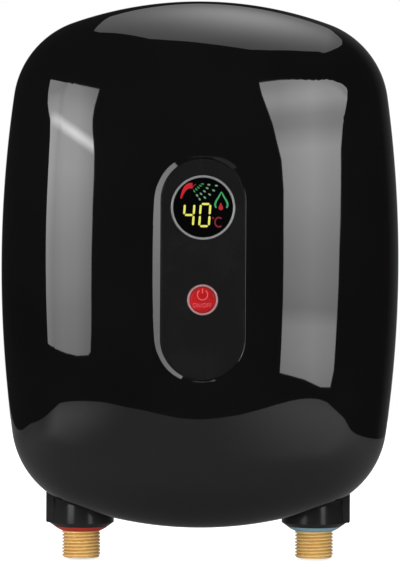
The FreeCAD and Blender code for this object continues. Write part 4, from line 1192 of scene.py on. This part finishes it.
studio = {"keyPower": 16.5, "keyPlace": (-0.5, -1.7, 0.45), "keySize": 1.2, "ambient": 0.42,
          "dark": 0.02, "wallFrom": (0.955, 0.985), "sideGlow": 0.09, "sideFrom": (0.1, 0.3),
          "sideBack": (0.45, 0.9)}


def lightFlags(tree):
    rays = addNode(tree, "ShaderNodeLightPath").outputs
    return rays["Is Camera Ray"], calc("MAXIMUM", rays["Is Glossy Ray"], rays["Is Transmission Ray"])


def glowing(tree, strength, kind="ShaderNodeEmission"):
    return wire(tree, kind, {"Color": (1, 1, 1, 1), "Strength": strength})


def mixed(factor, first, second):
    return wire(factor.id_data, "ShaderNodeMixShader", {0: factor, 1: first, 2: second})


def oneSided(tree, shader):
    behind = wire(tree, "ShaderNodeNewGeometry", output="Backfacing")
    addNode(tree, "ShaderNodeOutputMaterial", {
        "Surface": mixed(behind, shader, wire(tree, "ShaderNodeBsdfTransparent"))})


def flatMesh(name, outline, height=0.0):
    mesh = bpy.data.meshes.new(name)
    mesh.from_pydata([(x * mm, y * mm, height) for x, y in outline], [], [tuple(range(len(outline)))])
    return mesh


def nearTo(place, spot, size, turn=0.0):
    # Where a place lies in an ellipse round a spot, in shares of its half axes
    return wire(place.id_data, "ShaderNodeMapping", {
        "Vector": place, "Location": spot, "Rotation": (0.0, 0.0, math.radians(turn)), "Scale": (*size, 1.0)},
        vector_type="TEXTURE")


# The table's outline is in mm. A pool is painted light seen in reflections: its place, its half axes and what
# it adds; the last adds painted shadow near the object
tableLook = {
    "outline": [(-430, 1300), (-431, 180), (-455, 30), (-460, -30), (-442, -153), (-414, -307),
                (-378, -418), (-360, -478), (-341, -500), (-310, -515), (-265, -526), (-233, -522),
                (-201, -512), (-127, -488), (-39, -451), (6, -443), (51, -451), (100, -467), (157, -495),
                (206, -518), (258, -536), (294, -543), (325, -538), (347, -522), (353, -490), (342, -443),
                (333, -404), (345, -336), (360, -200), (360, 1300)],
    "drop": 0.2 * mm, "white": 0.8, "whiteRange": 0.02, "paper": 60, "lift": 0.8, "inGloss": 0.2,
    "pools": [(-0.32, -0.37, 0.17, 0.28, 0.42), (-0.32, -0.1, 0.28, 0.25, 0.1), (0.3, -0.42, 0.3, 0.55, 0.36),
              (0.0, -0.03, 0.15, 0.1, -0.1)],
}


def makeTable():
    look = tableLook
    top = cadBox[0][2] - look["drop"]
    material, tree, place = newMaterial("tableWhite", True)
    seen, mirrored = lightFlags(tree)
    low = look["white"] - look["whiteRange"]
    paper = ramp(noise(place, look["paper"]), [(0.3, colourOf(low)), (0.7, colourOf(look["white"]))])
    plain = wire(tree, "ShaderNodeBsdfDiffuse", {"Color": paper})
    lit = wire(tree, "ShaderNodeAddShader", {0: plain, 1: glowing(tree, times(seen, look["lift"]))})
    level = look["inGloss"]
    # Each pool paints light on the table, seen only in reflections; a negative gain paints shadow
    for x, y, wide, deep, gain in look["pools"]:
        away = vectorMath("LENGTH", nearTo(place, (x, y, top), (wide, deep)), output="Value")
        level = plus(eased(away, gain, 0.0, 0.0, 1.0), level)
    oneSided(tree, mixed(mirrored, lit, glowing(tree, level)))
    newObject("table", flatMesh("table", look["outline"], top), material)


def makeWorld():
    world = bpy.data.worlds.new("studio")
    scene.world = world
    world.use_nodes = True
    tree = world.node_tree
    tree.nodes.clear()
    seen, mirrored = lightFlags(tree)
    x, y, z = axes(wire(tree, "ShaderNodeTexCoord", output="Generated"))
    wall = spread(y, studio["dark"], 1.0, *studio["wallFrom"])
    side = times(spread(x, 0.0, 1.0, *studio["sideFrom"]),
                 spread(y, 0.0, studio["sideGlow"], *studio["sideBack"]))
    ambient, dark, white = [glowing(tree, strength, "ShaderNodeBackground")
                            for strength in (studio["ambient"], plus(wall, side), 1.0)]
    addNode(tree, "ShaderNodeOutputWorld", {"Surface": mixed(seen, mixed(mirrored, ambient, dark), white)})


# Each light panel: its middle, where it faces, its outline in mm, its brightness up and across it,
# and perhaps a bright streak (knee x and y, fall, bend, half width, faded width) or a bright spot
# (x, y, half axes, turn, gain)
panels = {
    "panelLeft": {
        "middle": (-0.869, -1.103, 0.123), "facing": (0.613, 0.785, -0.087), "strength": 9.0,
        "outline": [(278, 316), (250, 254), (241, 218), (241, 190), (251, 151), (259, 109), (259, 42),
                    (250, -119), (250, -258), (247, -302), (231, -310), (159, -309), (89, -300), (38, -290),
                    (-30, -285), (-273, -287), (-266, -230), (-261, -140), (-292, -54), (-322, 38),
                    (-345, 103), (-384, 175), (-445, 224), (-595, 266), (-689, 299), (-719, 348),
                    (-749, 518), (-818, 691), (-611, 625), (-394, 546), (-201, 468), (-26, 384), (99, 322),
                    (150, 319)],
        "levels": [(-0.31, 0.22), (-0.2, 0.255), (-0.1, 0.325), (-0.04, 0.37), (0.07, 0.445), (0.2, 0.44),
                   (0.24, 0.4), (0.3, 0.31), (0.36, 0.26), (0.69, 0.24)],
        "across": [(-0.4, 1.05), (-0.13, 1.0), (0.0, 0.88), (0.07, 1.0), (0.15, 0.97), (0.25, 0.73)],
        "streak": (0.03, 0.192, 0.169, 0.091, 0.004, 0.026),
        "streakLevels": [(-0.5, 0.05), (-0.26, 0.28), (0.0, 0.37), (0.13, 0.52), (0.22, 0.45)]},
    "panelRight": {
        "middle": (0.725, -1.199, 0.078), "facing": (-0.514, 0.856, -0.052), "strength": 9.0,
        "outline": [(-205, 400), (57, 386), (380, 490), (510, 480), (510, 440), (400, 325), (213, 258),
                    (188, 220), (176, 163), (172, 0), (163, -98), (152, -190), (140, -294), (120, -343),
                    (55, -344), (-51, -325), (-145, -316), (-214, -310), (-205, -222), (-197, -134),
                    (-195, -72), (-192, 65), (-205, 144), (-231, 190), (-262, 253), (-303, 315),
                    (-332, 360), (-348, 402)],
        "levels": [(-0.344, 0.25), (-0.26, 0.3), (-0.19, 0.32), (-0.148, 0.23), (-0.07, 0.285), (0.04, 0.375),
                   (0.173, 0.44), (0.24, 0.31), (0.273, 0.32), (0.323, 0.44), (0.348, 0.43), (0.382, 0.35),
                   (0.49, 0.33)],
        "across": [(-0.22, 0.8), (-0.15, 0.87), (0.0, 1.0), (0.12, 0.88), (0.3, 0.8)]},
    "panelTop": {
        "middle": (0.0, 0.0, 1.128), "facing": (0.0, 0.0, -1.0), "strength": 1.6,
        "outline": [(-405, 261), (-353, 547), (-290, 980), (-191, 1190), (-45, 1390), (42, 1460),
                    (213, 1342), (396, 1220), (477, 1150), (609, 824), (757, 648), (808, 384), (786, 126),
                    (708, -197), (588, -499), (428, -736), (318, -815), (187, -750), (68, -679),
                    (-141, -516), (-232, -409), (-283, -241), (-331, -75), (-394, 133)],
        "levels": [(-0.8, 0.4), (-0.4, 0.43), (-0.1, 0.42), (0.2, 0.4), (0.6, 0.33), (1.4, 0.3)],
        "across": [(-0.3, 0.95), (0.0, 1.0), (0.25, 0.95), (0.5, 1.1)],
        "spot": (0.2, 0.25, 0.33, 0.55, 6.0, 0.96)},
}


def profileOf(value, stops):
    low, high = stops[0][0], stops[-1][0]
    share = spread(value, 0.0, 1.0, low, high)
    return axes(ramp(share, [((place - low) / (high - low), colourOf(level)) for place, level in stops]))[0]


def makePanelLight(name, look):
    facing = Vector(look["facing"]).normalized()
    if abs(facing.z) > 0.9:
        across, up = Vector((1, 0, 0)), Vector((0, 1, 0))
    else:
        across = Vector((0, 0, 1)).cross(-facing).normalized()
        up = (-facing).cross(across).normalized()
    material, tree, place = newMaterial(name, True)
    x, y, z = axes(place)
    level = times(profileOf(y, look["levels"]), profileOf(x, look["across"]))
    if "streak" in look:
        # A bright line across the panel, falling faster beyond its knee
        kneeX, kneeY, fall, bent, flat, fade = look["streak"]
        past = minus(x, kneeX)
        off = calc("MULTIPLY_ADD", past, fall, minus(y, kneeY))
        off = calc("ABSOLUTE", calc("MULTIPLY_ADD", calc("ABSOLUTE", past), bent, off))
        line = spread(off, 1.0, 0.0, flat, fade)
        level = calc("MULTIPLY_ADD", line, profileOf(x, look["streakLevels"]), level)
    if "spot" in look:
        spotX, spotY, wide, high, turn, gain = look["spot"]
        near = nearTo(place, (spotX, spotY, 0.0), (wide, high), turn)
        hill = calc("EXPONENT", times(vectorMath("DOT_PRODUCT", near, near, "Value"), -1.0))
        level = calc("MULTIPLY_ADD", hill, gain, level)
    oneSided(tree, glowing(tree, times(level, look["strength"])))
    panel = newObject(name, flatMesh(name, look["outline"]), material)
    turned = Matrix((across, up, -facing)).transposed().to_4x4()
    panel.matrix_world = Matrix.Translation(look["middle"]) @ turned
    panel.visible_camera = False
    panel.visible_shadow = False


def makeKey():
    light = bpy.data.lights.new("softKey", "AREA")
    light.shape = "RECTANGLE"
    light.size = light.size_y = studio["keySize"]
    light.energy = studio["keyPower"]
    key = placed("softKey", light)
    key.location = studio["keyPlace"]
    key.rotation_euler = (-key.location).to_track_quat("-Z", "Y").to_euler()
    key.visible_glossy = False
    key.visible_camera = False


cameraLook = {"azimuth": -1.57, "distance": 1.445, "aim": (-0.00008, -0.042, -0.0089), "roll": 0.3,
              "frameHigh": 305.7 * mm, "sensor": 36.0}


def makeCamera():
    look = cameraLook
    data = bpy.data.cameras.new("camera")
    camera = placed("camera", data)
    turn, distance = math.radians(look["azimuth"]), look["distance"]
    camera.location = (distance * math.sin(turn), look["aim"][1] - distance * math.cos(turn), 0.0)
    view = Vector(look["aim"]) - camera.location
    camera.rotation_mode = "QUATERNION"
    camera.rotation_quaternion = view.to_track_quat("-Z", "Y") @ Matrix.Rotation(
        math.radians(look["roll"]), 4, "Z").to_quaternion()
    data.sensor_width = look["sensor"]
    data.lens = look["sensor"] * distance / look["frameHigh"]
    data.clip_start, data.clip_end = 0.05, 20.0
    scene.camera = camera


makeCamera()
makeTable()
makeWorld()
for name, look in panels.items():
    makePanelLight(name, look)
makeKey()
scene.view_settings.view_transform = "Standard"
print("studio made")
